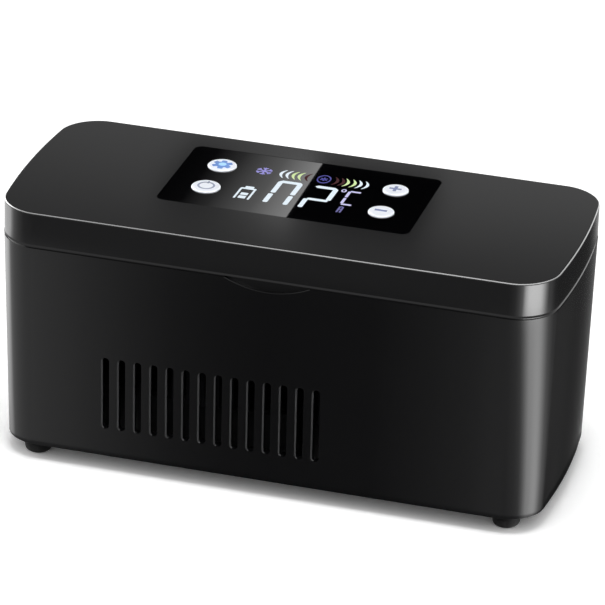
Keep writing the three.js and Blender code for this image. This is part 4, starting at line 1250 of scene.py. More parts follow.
    def top_frame(self) -> bmesh.types.BMesh:
        """Makes the frame over the tray, with a flared mouth and the magnet's pocket.

        Returns:
            The frame.
        """
        top = self.frame_top()
        bottom = top - self.frame_thickness
        inset = CASE.inner_inset(top) + CASE.clearance
        low = CASE.inner_inset(bottom) + CASE.clearance
        edge = CASE.edge_round
        plate = plan_loft([(low, bottom)] + arc((inset + edge, top - edge), edge, 180, 90, 3))
        flare = self.mouth_round
        rows = [(0, bottom - CASE.overrun)] + arc((flare, top - flare), flare, 180, 90, 4)
        rows.append((flare, top + CASE.overrun))
        opening = loft([level(self.mouth(grow), z) for grow, z in rows])
        y = -CASE.width / 2 + CASE.magnet_inset
        half_x = CASE.magnet_length / 2 + CASE.seat
        half_y = CASE.magnet_width / 2 + CASE.seat
        high = top - self.magnet_skin
        pocket = block((-half_x, y - half_y, bottom - CASE.overrun), (half_x, y + half_y, high))
        return combined(plate, [opening, pocket])

    def mouth(self, grow: float) -> list[Flat]:
        """Draws the mouth of the case, grown by a margin.

        Args:
            grow: The margin.

        Returns:
            The outline.
        """
        half_x = self.tray_half_x - self.mouth_inset + grow
        half_y = self.tray_half_y - self.mouth_inset + grow
        return rounded(half_x, half_y, self.tray_corner + grow)

    def tray(self) -> bmesh.types.BMesh:
        """Makes the drawn tray, with rounded bends at its floor and under its flange.

        Returns:
            The tray.
        """
        bottom = self.tray_bottom
        top = self.frame_top() - self.frame_thickness - CASE.clearance
        wall = self.tray_wall
        under = top - wall
        out = wall + self.tray_flange
        bend = self.tray_bend
        inner = self.tray_inner_bend
        edge = CASE.edge_round
        lip = self.tray_lip_round
        profile = arc((wall - bend, bottom + bend), bend, 270, 360)
        profile += [(wall, under), (out - edge, under), (out, under + edge)]
        profile += [(out, top - edge), (out - edge, top)]
        profile += arc((lip, top - lip), lip, 90, 180, 4)
        profile += arc((-inner, bottom + wall + inner), inner, 360, 270)
        rings: list[Ring] = []
        for grow, z in profile:
            outline = rounded(self.tray_half_x + grow, self.tray_half_y + grow, self.tray_corner + grow)
            rings.append(level(outline, z))
        return loft(rings)

    def pins(self) -> None:
        """Makes the two hinge pins with rounded ends."""
        half = HINGE.case_span / 2 + CASE.clearance + HINGE.lid_span
        curve = HINGE.pin_round
        flat = HINGE.pin_radius - curve
        for number, side in enumerate(SIDES, 1):
            left = side * HINGE.set_x - half + curve
            right = side * HINGE.set_x + half - curve
            profile = arc((flat, left), curve, 270, 360, 2) + arc((flat, right), curve, 0, 90, 2)
            pin = turned(profile, Axis.X, (CASE.hinge_y, CASE.hinge_z), SCREW_SIDES)
            self.piece(pin, f"hinge_rod_{number}", ZINC_STEEL, "zinc_steel", [f"hinge_pin_{number}"])


# Cooler


@dataclass
class Cooler(Assembly):
    """The cooling stack under the tray: block, module, heat sink and fan."""

    x: float = -21.3
    fan_bottom: float = 11.8
    fan_depth: float = 15.0
    fan_half: float = 30.0
    fan_corner: float = 4.0
    fan_bore: float = 28.4
    hole_radius: float = 2.1
    hole_offset: float = 25.0
    carrier_radius: float = 11.0
    carrier_thickness: float = 1.5
    hub_radius: float = 12.0
    hub_height: float = 10.0
    hub_lift: float = 0.4
    tip_radius: float = 27.5
    blade_count: int = 7
    shaft_radius: float = 1.5
    shaft_gap: float = 0.06
    shaft_root: float = 1.0
    frame_round: float = 0.4
    bore_chamfer: float = 0.6
    strut_half: float = 1.5
    strut_root: float = 0.5
    hub_round: float = 0.8
    blade_steps: int = 8
    blade_pitch: float = 56.0
    blade_untwist: float = 14.0
    blade_half: float = 5.3
    blade_narrowing: float = 0.2
    blade_root: float = 0.75
    blade_thinning: float = 0.35
    blade_camber: float = 0.6

    def build(self) -> None:
        """Makes the fan and dresses the rest of the stack."""
        self.piece(self.fan_frame(), "fan_housing", FAN_NYLON, "grey_nylon", ["fan_frame"])
        self.piece(self.rotor(), "fan_impeller", FAN_NYLON, "satin_abs", ["fan_rotor"], "fan")
        self.dress(["cold_block"], MILLED_ALUMINIUM)
        self.dress(["cooling_module"], ALUMINA, 0)
        self.dress(["heat_sink"], ANODISED)
        self.dress(["heat_sink_screw_1", "heat_sink_screw_2"], ZINC_STEEL, 0)

    def fan_frame(self) -> bmesh.types.BMesh:
        """Makes the square frame with its bore, corner holes, struts and bearing plate.

        Returns:
            The frame.
        """
        bottom = self.fan_bottom
        top = bottom + self.fan_depth
        curve = self.frame_round
        rings: list[Ring] = []
        for grow, z in ((-curve, bottom), (0, bottom + curve), (0, top - curve), (-curve, top)):
            outline = rounded(self.fan_half + grow, self.fan_half + grow, self.fan_corner + grow, steps=6)
            rings.append(level(moved(outline, self.x, 0), z))
        low = bottom - CASE.overrun
        high = top + CASE.overrun
        bore = self.fan_bore
        edge = self.bore_chamfer
        mouth = [(bore + edge, low), (bore + edge, bottom), (bore, bottom + edge)]
        mouth += [(bore, top - edge), (bore + edge, top), (bore + edge, high)]
        cutters = [turned(mouth, centre=(self.x, 0), sides=72)]
        ends = [(self.hole_radius, low), (self.hole_radius, high)]
        for sign_x, sign_y in CORNERS:
            place = (self.x + sign_x * self.hole_offset, sign_y * self.hole_offset)
            cutters.append(turned(ends, centre=place, sides=HOLE_SIDES))
        parts = [combined(loft(rings), cutters), self.bearing_plate()]
        return merged(parts + [self.strut(90 * i) for i in range(4)])

    def bearing_plate(self) -> bmesh.types.BMesh:
        """Makes the round plate that carries the rotor's shaft.

        Returns:
            The plate.
        """
        bottom = self.fan_bottom
        top = bottom + self.carrier_thickness
        hole = self.shaft_radius + self.shaft_gap
        wide = self.carrier_radius
        edge = CASE.edge_round
        profile = [(hole, bottom), (wide - edge, bottom), (wide, bottom + edge), (wide, top), (hole, top)]
        return turned(profile, centre=(self.x, 0), closed=True)

    def strut(self, angle: float) -> bmesh.types.BMesh:
        """Makes one strut between the bearing plate and the frame.

        Args:
            angle: Where it stands round the plate, in degrees.

        Returns:
            The strut.
        """
        inner = self.carrier_radius - self.strut_root
        outer = self.fan_bore + self.strut_root
        half = self.strut_half
        low = self.fan_bottom + CASE.skin
        high = self.fan_bottom + self.carrier_thickness - CASE.skin
        strut = block((inner, -half, low), (outer, half, high))
        turn = Matrix.Rotation(math.radians(angle), 4, "Z")
        strut.transform(Matrix.Translation((self.x, 0, 0)) @ turn)
        return strut

    def rotor(self) -> bmesh.types.BMesh:
        """Makes the hub with its shaft and the swept blades.

        Returns:
            The rotor.
        """
        bottom = self.fan_bottom + self.carrier_thickness + self.hub_lift
        top = bottom + self.hub_height
        curve = self.hub_round
        flat = self.hub_radius - curve
        hub = arc((flat, bottom + curve), curve, 270, 360) + arc((flat, top - curve), curve, 0, 90)
        shaft = [(self.shaft_radius, z) for z in (self.fan_bottom + CASE.seat, bottom + self.shaft_root)]
        parts = [
            turned(hub, centre=(self.x, 0), sides=ROUND_SIDES),
            turned(shaft, centre=(self.x, 0), sides=HOLE_SIDES),
        ]
        parts += [self.blade(360 * i / self.blade_count, bottom) for i in range(self.blade_count)]
        return merged(parts)

    def blade(self, angle: float, bottom: float) -> bmesh.types.BMesh:
        """Makes one blade, twisted and thinned towards its tip.

        Args:
            angle: Where it stands round the hub, in degrees.
            bottom: Level of the hub's lower face.

        Returns:
            The blade.
        """
        rings: list[Ring] = []
        middle = bottom + self.hub_height / 2
        inner = self.hub_radius - self.shaft_root
        for i in range(self.blade_steps + 1):
            share = i / self.blade_steps
            radius = inner + share * (self.tip_radius - inner)
            pitch = math.radians(self.blade_pitch - self.blade_untwist * share)
            half = self.blade_half - self.blade_narrowing * share
            thick = self.blade_root - self.blade_thinning * share
            ring: Ring = []
            for u, v in arc((0, 0), 1, 0, 360 - 22.5, 15):
                along = u * half
                across = v * thick + self.blade_camber * (1 - u * u)
                run = along * math.cos(pitch) - across * math.sin(pitch)
                rise = along * math.sin(pitch) + across * math.cos(pitch)
                spin = math.radians(angle) + run / radius
                ring.append((self.x + radius * math.cos(spin), radius * math.sin(spin), middle + rise))
            rings.append(ring)
        return loft(rings)


# Power


@dataclass
class Power(Assembly):
    """Battery, board, inlet, sensor and leads."""

    inlet_x: float = 70.0
    inlet_z: float = 41.6
    barrel_radius: float = 3.7
    bore_radius: float = 2.75
    bore_depth: float = 9.0
    pin_radius: float = 0.95
    body_width: float = 9.0
    body_length: float = 14.0
    body_height: float = 11.0
    bore_flare: float = 0.32
    nose_root: float = 1.0
    tip_drop: float = 0.5
    tip_step: float = 0.15
    cell_round: float = 0.4

    def build(self) -> None:
        """Makes the inlet socket and dresses the rest."""
        self.piece(self.jack(), "power_inlet", GREY_NYLON, "grey_nylon", ["dc_jack"])
        self.dress(["battery_holder"], GREY_NYLON)
        self.dress(["battery_cell_1", "battery_cell_2"], CELL_SLEEVE, self.cell_round)
        self.dress(["control_board"], BOARD, 0)
        self.dress(["temperature_sensor"], GREY_NYLON)
        self.dress(["module_lead_red", "battery_lead"], RED_PVC, 0)
        self.dress(["module_lead_black", "fan_lead"], BLACK_PVC, 0)
        self.dress(["sensor_lead", "display_lead"], GREY_PVC, 0)

    def jack(self) -> bmesh.types.BMesh:
        """Makes the socket: a square body, a round mouth with its bore, and the centre pin.

        Returns:
            The socket.
        """
        centre = (self.inlet_x, self.inlet_z)
        face = CASE.width / 2 - CASE.outer_inset(self.inlet_z) - CASE.clearance
        rear = face - CASE.wall
        front = rear - self.body_length
        left, low = centre[0] - self.body_width / 2, centre[1] - self.body_height / 2
        right, high = centre[0] + self.body_width / 2, centre[1] + self.body_height / 2
        body = block((left, front, low), (right, rear, high))
        edge = CASE.edge_round
        barrel = self.barrel_radius
        nose = [(barrel, rear - self.nose_root), (barrel, face - edge), (barrel - edge, face)]
        bore = self.bore_radius
        wide = bore + self.bore_flare
        hole = [(bore, face - self.bore_depth), (bore, face - edge)]
        hole += [(wide, face + CASE.skin), (wide, face + CASE.overrun)]
        socket = combined(body, [turned(nose, Axis.Y, centre)], Cut.JOIN)
        socket = combined(socket, [turned(hole, Axis.Y, centre)])
        tip = face - CASE.wall / 2
        slim = self.pin_radius
        pin = [(slim, face - self.bore_depth - self.nose_root), (slim, tip - self.tip_drop)]
        pin += [(slim - self.tip_step, tip - self.tip_step), (slim - self.tip_drop, tip)]
        return merged([socket, turned(pin, Axis.Y, centre, HOLE_SIDES)])


# Lid


@dataclass
class Lid(Assembly):
    """The lid: shell, inner cover, seal, foam and screws."""

    body: str = "lid"
    top_thickness: float = 2.4
    top_round: float = 0.65
    skirt_inset: float = 0.19
    lip_drop: float = 0.73
    lip_thickness: float = 0.34
    lip_round: float = 0.04
    skirt_chamfer: float = 0.2
    skirt_step: Flat = (0.005, 0.03)
    panel_x: float = -3.4
    panel_y: float = 8.05
    panel_half_x: float = 47.75
    panel_half_y: float = 25.55
    panel_corner: float = 3.0
    panel_gap: float = 0.15
    recess_depth: float = 1.3
    liner_thickness: float = 2.4
    liner_wall: float = 1.6
    plug_gap: float = 2.0
    plug_bottom: float = 84.35
    plug_round: float = 1.2
    gasket_offset: float = 2.0
    gasket_width: float = 3.0
    gasket_height: float = 1.9
    gasket_proud: float = 0.7
    gasket_lip: float = 0.9
    screw_end_inset: float = 13.0
    screw_side_inset: float = 12.0
    screw_reach: float = 5.0
    boss_radius: float = 3.2
    magnet_skin: float = 0.6
    window_low: Flat = (-26.0, -7.95)
    window_high: Flat = (21.0, 24.05)

    def build(self, base: Base, keys: "Keys") -> None:
        """Makes every piece of the lid.

        Args:
            base: The base, whose mouth the plug and the seal follow.
            keys: The buttons, whose holes go through the lid.
        """
        self.piece(self.shell(keys), "lid_outer_shell", GLOSS_ABS, "gloss_abs", ["lid_shell"])
        self.piece(self.liner(base), "lid_inner_cover", SATIN_ABS, "satin_abs", ["lid_liner"])
        self.piece(self.gasket(base), "lid_seal", RUBBER, "rubber", ["lid_gasket"])
        seat_z = CASE.lid_bottom + CASE.clearance + CASE.screw_head_height
        for number, place in enumerate(self.screw_places(), 1):
            screw = cross_screw((*place, seat_z), self.screw_reach)
            self.piece(screw, f"cover_screw_{number}", ZINC_STEEL, "zinc_steel", [f"lid_screw_{number}"])
        self.dress(["lid_foam"], BEAD_FOAM, 0)
        self.dress(["lid_magnet"], NICKEL)
        self.dress(["lid_display_lead"], GREY_PVC, 0)
        self.dress(["display_board"], BOARD, 0)
        self.dress(["display_module"], DISPLAY_FACE)

    def shell(self, keys: "Keys") -> bmesh.types.BMesh:
        """Makes the skirt and top with the panel's recess and the button holes.

        Args:
            keys: The buttons, whose holes go through the top.

        Returns:
            The shell, with a fine lip along its lower edge.
        """
        bottom = CASE.lid_bottom
        top = CASE.lid_top
        ceiling = top - self.top_thickness
        curve = self.top_round
        skirt = self.skirt_inset
        lip = bottom - self.lip_drop
        edge = self.lip_round
        chamfer = self.skirt_chamfer
        profile = [(CASE.wall, ceiling), (CASE.wall, bottom + chamfer), (CASE.wall - chamfer, bottom)]
        profile += [(self.lip_thickness, bottom), (self.lip_thickness, lip)]
        profile += arc((edge, lip + edge), edge, 270, 180, 3)
        profile += [(skirt - self.skirt_step[0], bottom), (skirt, bottom + self.skirt_step[1])]
        profile += arc((skirt + curve, top - curve), curve, 180, 90, 8)
        skin = combined(plan_loft(profile), HINGE.notches("lid"))
        gap = self.panel_gap
        outline = rounded(self.panel_half_x + gap, self.panel_half_y + gap, self.panel_corner + gap)
        outline = moved(outline, self.panel_x, self.panel_y)
        skin = combined(skin, [prism(outline, top - self.recess_depth, top + CASE.overrun)])
        low = ceiling - CASE.overrun
        holes: list[bmesh.types.BMesh] = []
        for word, place in keys.places().items():
            hole = keys.hole_radius(word)
            holes.append(turned([(hole, low), (hole, top)], centre=place))
        holes.append(block((*self.window_low, low), (*self.window_high, top)))
        skin = combined(skin, holes)
        bosses = [self.boss(place, ceiling + CASE.seat) for place in self.screw_places()]
        return merged([skin, HINGE.rolls("lid")] + bosses)

    def boss(self, place: Flat, high: float) -> bmesh.types.BMesh:
        """Makes one boss that a screw of the inner cover bites into.

        Args:
            place: Middle of the boss.
            high: Level of its upper end, inside the lid's top.

        Returns:
            The boss with its pilot hole.
        """
        low = CASE.lid_bottom + CASE.clearance + self.liner_thickness + CASE.seat
        pilot = CASE.screw_radius + CASE.clearance
        ends = [(pilot, low - CASE.overrun), (pilot, low + self.screw_reach)]
        hole = turned(ends, centre=place, sides=HOLE_SIDES)
        post = turned([(self.boss_radius, low), (self.boss_radius, high)], centre=place, sides=SCREW_SIDES)
        return combined(post, [hole])

    def plug(self, base: Base, inset: float) -> list[Flat]:
        """Draws the plug that fills the mouth of the case, drawn in by inset."""
        inner = base.mouth_inset + self.plug_gap + inset
        return rounded(base.tray_half_x - inner, base.tray_half_y - inner, base.tray_corner - inset)

    def liner(self, base: Base) -> bmesh.types.BMesh:
        """Makes the inner cover with its hollow plug, seal groove and screw holes.

        Args:
            base: The base, whose mouth the plug and the groove follow.

        Returns:
            The cover.
        """
        bottom = CASE.lid_bottom + CASE.clearance
        top = bottom + self.liner_thickness
        low = bottom - CASE.overrun
        high = top + CASE.overrun
        inset = CASE.wall + CASE.clearance
        edge = CASE.edge_round
        plate = plan_loft(arc((inset + edge, bottom + edge), edge, 270, 180, 3) + [(inset, top)])
        curve = self.plug_round
        rounds = arc((curve, self.plug_bottom + curve), curve, 270, 180, 5)
        rings = [level(self.plug(base, drawn_in), z) for drawn_in, z in rounds]
        rings.append(level(self.plug(base, 0), bottom + self.liner_thickness / 2))
        body = combined(plate, [loft(rings)], Cut.JOIN)
        hollow = prism(self.plug(base, self.liner_wall), self.plug_bottom + self.liner_wall, high)
        magnet_y = CASE.magnet_inset - CASE.width / 2
        reach_x = CASE.magnet_length / 2 + CASE.seat
        reach_y = CASE.magnet_width / 2 + CASE.seat
        corner = (-reach_x, magnet_y - reach_y, bottom + self.magnet_skin)
        pocket = block(corner, (reach_x, magnet_y + reach_y, high))
        wide = CASE.screw_head_radius + CASE.clearance
        slim = CASE.screw_radius + CASE.clearance
        seat = bottom + CASE.screw_head_height + CASE.seat
        profile = [(wide, low), (wide, seat), (slim, seat), (slim, high)]
        holes = [turned(profile, centre=place, sides=SCREW_SIDES) for place in self.screw_places()]
        return combined(body, [self.seal_groove(base), hollow, pocket] + holes)

    def seal_groove(self, base: Base) -> bmesh.types.BMesh:
        """Makes the cutter of the groove that holds the seal.

        Args:
            base: The base, whose mouth the groove follows.

        Returns:
            The cutter.
        """
        bottom = CASE.lid_bottom + CASE.clearance
        low = bottom - CASE.overrun
        high = bottom - self.gasket_proud + self.gasket_height + CASE.seat
        outer = self.gasket_offset + self.gasket_width + CASE.clearance
        inner = self.gasket_offset - CASE.clearance
        profile = ((outer, low), (outer, high), (inner, high), (inner, low))
        return loft([level(base.mouth(grow), z) for grow, z in profile], closed=True)

    def gasket(self, base: Base) -> bmesh.types.BMesh:
        """Makes the rubber seal, with a rounded lip below.

        Args:
            base: The base, whose mouth the seal follows.

        Returns:
            The seal.
        """
        bottom = CASE.lid_bottom + CASE.clearance - self.gasket_proud
        top = bottom + self.gasket_height
        half = self.gasket_width / 2
        middle = self.gasket_offset + half
        profile: list[Flat] = []
        for angle in range(0, 181, 15):
            turn = math.radians(angle)
            lip = bottom + self.gasket_lip * (1 - math.sin(turn))
            profile.append((middle + half * math.cos(turn), lip))
        profile += [(self.gasket_offset, top), (self.gasket_offset + self.gasket_width, top)]
        return loft([level(base.mouth(grow), z) for grow, z in profile], closed=True)

    def screw_places(self) -> list[Flat]:
        """Lists where the inner cover's screws stand.

        Returns:
            The four middles.
        """
        x = CASE.length / 2 - self.screw_end_inset
        y = CASE.width / 2 - self.screw_side_inset
        return [(sign_x * x, sign_y * y) for sign_x, sign_y in CORNERS]


# Buttons


@dataclass
class Keys(Assembly):
    """Four round push buttons with printed symbols."""

    left_x: float = -36.7
    right_x: float = 30.1
    back_y: float = 18.9
    front_y: float = -1.45
    left_radius: float = 5.4
    right_radius: float = 4.8
    gap: float = 0.25
    proud: float = 0.52
    rim_round: float = 0.45
    flange: float = 1.3
    flange_thickness: float = 0.8
    stem_radius: float = 2.0
    stem_length: float = 0.5
    stem_edge: float = 0.2
    rim_drop: float = 0.04
    crown_share: float = 2.2
    ink: float = 0.012
    ink_root: float = 0.02
    second_ink: float = 0.006
    arm_radius: float = 3.85
    gap_radius: float = 2.7
    disc_radius: float = 1.5
    disc_rise: float = 0.3
    ring_radius: float = 3.3
    ring_bore: float = 2.5
    ring_rise: float = 0.2
    stroke_half: float = 0.35
    stroke_low: float = 2.2
    stroke_high: float = 4.3
    sign_reach: float = 2.3
    sign_left: float = 0.2
    sign_rise: float = 0.4
    plus_half: float = 0.62
    minus_half: float = 0.72

    def radius(self, word: str) -> float:
        """Gives the radius of a button's cap."""
        return self.left_radius if word in ("mode", "power") else self.right_radius

    def hole_radius(self, word: str) -> float:
        """Gives the radius of the hole round a button's cap."""
        return self.radius(word) + self.gap

    def places(self) -> dict[str, Flat]:
        """Gives each button's place by its word.

        Returns:
            Middles of the four caps.
        """
        return {
            "mode": (self.left_x, self.back_y),
            "power": (self.left_x, self.front_y),
            "plus": (self.right_x, self.back_y),
            "minus": (self.right_x, self.front_y),
        }

    def build(self) -> None:
        """Makes the caps and their printed symbols, and dresses the switches."""
        for word, place in self.places().items():
            key = f"{word}_key"
            cap = self.cap(place, self.radius(word))
            self.piece(cap, f"{word}_cap", WHITE_ABS, "button_white", [f"{word}_button"], key)
            self.dress([f"{word}_plunger"], GREY_NYLON)
            self.dress([f"{word}_switch"], GREY_NYLON)
        self.print_mode()
        self.print_power()
        self.print_signs()

    def cap_top(self) -> float:
        """Level of a cap's flat top."""
        return CASE.lid_top + self.proud

    def cap(self, place: Flat, radius: float) -> bmesh.types.BMesh:
        """Makes one cap with its softly rounded rim, flange and stem.

        Args:
            place: Middle of the cap.
            radius: Radius of the cap.

        Returns:
            The cap.
        """
        top = self.cap_top()
        high = CASE.lid_top - CASE.wall - CASE.clearance
        low = high - self.flange_thickness
        wide = radius + self.flange
        curve = self.rim_round
        stem = self.stem_radius
        end = low - self.stem_length
        profile = [(stem - self.stem_edge, end), (stem, end + self.stem_edge)]
        profile += [(stem, low), (wide, low), (wide, high), (radius, high)]
        profile += arc((radius - curve, top - curve - self.rim_drop), curve, 0, 80, 8)
        profile += [(radius - self.crown_share * curve, top)]
        return turned(profile, centre=place, sides=CAP_SIDES)

    def printed(self, bodies: Iterable[bmesh.types.BMesh], name: str, finish: Finish, word: str) -> None:
        """Makes the piece that holds one printed symbol."""
        self.piece(merged(bodies), name, finish, "button_white", (), f"{word}_key")

    def flat(self, points: Sequence[Flat], lift: float = 0.0) -> bmesh.types.BMesh:
        """Lays an outline on the caps as a film of ink."""
        return prism(points, self.cap_top() - self.ink_root, self.cap_top() + self.ink + lift)

    def print_mode(self) -> None:
        """Prints a blue wheel with six stubby arms and a pale middle."""
        x, y = self.places()["mode"]
        arms: list[Flat] = []
        for middle in range(30, 360, 60):
            arms += arc((x, y), self.arm_radius, middle - 15, middle + 15, 3)
            arms += arc((x, y), self.gap_radius, middle + 22, middle + 38, 2)
        self.printed([self.flat(arms)], "mode_symbol", BLUE_INK, "mode")
        disc = arc((x, y + self.disc_rise), self.disc_radius, 0, 350, 35)
        self.printed([self.flat(disc, self.second_ink)], "mode_symbol_middle", PALE_BLUE_INK, "mode")

    def print_power(self) -> None:
        """Prints a grey ring with a short stroke through its top."""
        x, y = self.places()["power"]
        centre = (x, y + self.ring_rise)
        ring = arc(centre, self.ring_radius, 91, 449, 48) + arc(centre, self.ring_bore, 449, 91, 48)
        left = x - self.stroke_half
        right = x + self.stroke_half
        low = y + self.stroke_low
        high = y + self.stroke_high
        stroke = [(left, low), (right, low), (right, high), (left, high)]
        self.printed([self.flat(ring), self.flat(stroke)], "power_symbol", GREY_INK, "power")

    def print_signs(self) -> None:
        """Prints the plus and the minus sign."""
        reach = self.sign_reach
        half = self.plus_half
        corner = [(-reach, -half), (-half, -half), (-half, -reach)]
        cross: list[Flat] = []
        for _ in CORNERS:
            cross += corner
            corner = [(-v, u) for u, v in corner]
        bar = [(side_x * reach, side_y * self.minus_half) for side_x, side_y in CORNERS]
        for word, outline in (("plus", cross), ("minus", bar)):
            x, y = self.places()[word]
            sign = self.flat(moved(outline, x - self.sign_left, y + self.sign_rise))
            self.printed([sign], f"{word}_symbol", SLATE_INK, word)


# Display


@dataclass
class Display(Assembly):
    """The glossy panel and the lit symbols in it."""

    body: str = "lid"
    thickness: float = 1.15
    sink: float = 0.05
    film: float = 0.012
    film_root: float = 0.05
    slant: float = 0.022
    degree_centre: Flat = (12.2, 12.4)
    degree_outer: float = 1.0
    degree_inner: float = 0.5
    degree_outer_tall: float = 1.4
    degree_inner_tall: float = 1.5
    snow_centre: Flat = (-20.6, 19.6)
    snow_reach: float = 3.1
    snow_half: float = 0.36
    branch_half: float = 0.3
    branch_share: float = 0.42
    knot_share: float = 0.6
    wave_y: float = 19.6
    wave_half: float = 3.6
    wave_sag: float = 1.9
    wave_thick: float = 1.15
    wave_tip_share: float = 0.75
    wave_steps: int = 12
    ring_centre: Flat = (2.4, 19.9)
    ring_outer: float = 2.65
    ring_inner: float = 2.15
    ring_tall: float = 1.4
    ring_pause: float = 2.0
    wheel_reach: float = 1.5
    wheel_half: float = 0.3

    # Left, low, right, high and cut corner of each segment
    digits: ClassVar[tuple[tuple[float, ...], ...]] = (
        (-12.7, 11.6, -4.1, 13.7, 0.9),
        (-13.2, 2.1, -11.3, 12.6, 0.45),
        (-13.45, -6.9, -11.55, 1.1, 0.45),
        (-5.75, 2.1, -3.85, 12.6, 0.45),
        (-5.8, -6.9, -3.95, 1.1, 0.45),
        (1.0, 11.6, 9.2, 13.7, 0.9),
        (7.95, 1.9, 9.85, 12.6, 0.45),
        (1.1, 0.3, 9.0, 2.2, 0.55),
        (-0.05, -6.9, 1.75, 1.1, 0.45),
    )
    unit: ClassVar[tuple[tuple[float, ...], ...]] = (
        (14.4, 11.9, 18.4, 13.1, 0.3),
        (13.7, 7.0, 14.8, 12.4, 0.25),
        (13.7, 1.4, 14.8, 6.3, 0.25),
        (14.2, 0.1, 18.2, 1.3, 0.3),
    )
    small_mark: ClassVar[tuple[tuple[float, ...], ...]] = (
        (14.4, -6.8, 15.1, -1.6, 0.2),
        (15.6, -6.8, 16.3, -1.6, 0.2),
        (15.0, -2.2, 15.7, -1.3, 0.15),
        (15.0, -4.4, 15.7, -3.7, 0.15),
    )
    # Cap, shoulders, two walls and two level bars
    battery: ClassVar[tuple[tuple[float, ...], ...]] = (
        (-23.1, 2.6, -19.8, 4.5, 0.3),
        (-24.5, 1.7, -18.4, 2.9, 0.4),
        (-24.6, -7.1, -23.8, 2.2, 0.2),
        (-19.3, -7.1, -18.5, 2.2, 0.2),
        (-23.0, -3.6, -20.2, -1.5, 0.2),
        (-23.0, -6.6, -20.2, -4.3, 0.2),
    )
    # Name, outermost x of the first crescent, how many, their pitch, side they open to, finish
    crescents: ClassVar[tuple[tuple[str, float, int, float, int, Finish], ...]] = (
        ("lit_left_waves_white", -14.6, 2, 2.35, 1, LIT_WHITE),
        ("lit_left_waves_green", -9.9, 2, 2.3, 1, LIT_GREEN),
        ("lit_left_wave_red", -4.9, 1, 2.2, 1, LIT_RED),
        ("lit_right_waves_red", 8.2, 2, 2.3, -1, LIT_RED),
        ("lit_right_waves_green", 12.3, 2, 2.6, -1, LIT_GREEN),
        ("lit_right_waves_white", 17.2, 2, 2.5, -1, LIT_WHITE),
    )

    def build(self, lid: Lid, keys: Keys) -> None:
        """Makes the panel and everything that is lit in it.

        Args:
            lid: The lid, whose recess holds the panel.
            keys: The buttons, whose holes go through the panel.
        """
        self.piece(self.panel(lid, keys), "panel_window", PANEL_ACRYLIC, "panel_acrylic", ["display_panel"])
        self.lit(self.bars(self.digits), "lit_digits", LIT_WHITE)
        self.lit(self.degree() + self.bars(self.unit), "lit_degree_unit", LIT_PALE)
        self.lit(self.bars(self.small_mark), "lit_small_mark", LIT_DIM)
        self.lit(self.bars(self.battery), "lit_battery", LIT_WHITE)
        self.lit(self.snowflake(), "lit_snowflake", LIT_LAVENDER)
        for name, first, count, pitch, side, finish in self.crescents:
            waves = [self.wave(first + i * pitch, side) for i in range(count)]
            self.lit(waves, name, finish)
        self.lit(self.ring_symbol(), "lit_ring", LIT_BLUE)

    def top(self) -> float:
        """Level of the panel's top face."""
        return CASE.lid_top - self.sink

    def panel(self, lid: Lid, keys: Keys) -> bmesh.types.BMesh:
        """Makes the straight-sided panel with the button holes.

        Args:
            lid: The lid, whose recess holds the panel.
            keys: The buttons, whose holes go through the panel.

        Returns:
            The panel.
        """
        top = self.top()
        outline = rounded(lid.panel_half_x, lid.panel_half_y, lid.panel_corner)
        outline = moved(outline, lid.panel_x, lid.panel_y)
        holes: list[bmesh.types.BMesh] = []
        for word, place in keys.places().items():
            hole = keys.hole_radius(word)
            ends = [(hole, top - self.thickness - CASE.overrun), (hole, top + CASE.overrun)]
            holes.append(turned(ends, centre=place, sides=CAP_SIDES))
        return combined(prism(outline, top - self.thickness, top), holes)

    def lit(self, outlines: Iterable[Sequence[Flat]], name: str, finish: Finish) -> None:
        """Makes one lit symbol as a film in the panel's face.

        Args:
            outlines: The symbol's outlines.
            name: Name of the piece.
            finish: Its finish.
        """
        low = self.top() - self.film_root
        high = self.top() + self.film
        self.piece(merged([prism(points, low, high) for points in outlines]), name, finish, "display_face")

    def bars(self, table: Iterable[Sequence[float]]) -> list[list[Flat]]:
        """Draws segments with cut corners, which lean to the right as the digits do.

        Args:
            table: Left, low, right, high and cut corner of each.

        Returns:
            One outline for each.
        """
        found: list[list[Flat]] = []
        for left, low, right, high, cut in table:
            points = [
                (left + cut, low),
                (right - cut, low),
                (right, low + cut),
                (right, high - cut),
                (right - cut, high),
                (left + cut, high),
                (left, high - cut),
                (left, low + cut),
            ]
            found.append([(x + self.slant * y, y) for x, y in points])
        return found

    def degree(self) -> list[list[Flat]]:
        """Draws the degree ring in two halves.

        Returns:
            The left and the right half.
        """
        x, y = self.degree_centre
        outer = arc((x, 0), self.degree_outer, 90, 270, 12)
        inner = arc((x, 0), self.degree_inner, 270, 90, 12)
        left = [(u, y + v * self.degree_outer_tall) for u, v in outer]
        left += [(u, y + v * self.degree_inner_tall) for u, v in inner]
        return [left, [(2 * x - u, v) for u, v in left]]

    def snowflake(self) -> list[list[Flat]]:
        """Draws a snowflake of three crossed strokes with short branches.

        Returns:
            One outline for each stroke and branch.
        """
        x, y = self.snow_centre
        reach = self.snow_reach
        strokes: list[list[Flat]] = []
        for angle in (90, 150, 210):
            strokes.append(self.stroke(self.snow_centre, angle, -reach, reach, self.snow_half))
            along = math.radians(angle)
            for end in SIDES:
                out = end * reach * self.knot_share
                knot = (x + out * math.cos(along), y + out * math.sin(along))
                for branch in SIDES:
                    lean = angle + (0 if end > 0 else 180) + branch * 45
                    strokes.append(self.stroke(knot, lean, 0, reach * self.branch_share, self.branch_half))
        return strokes

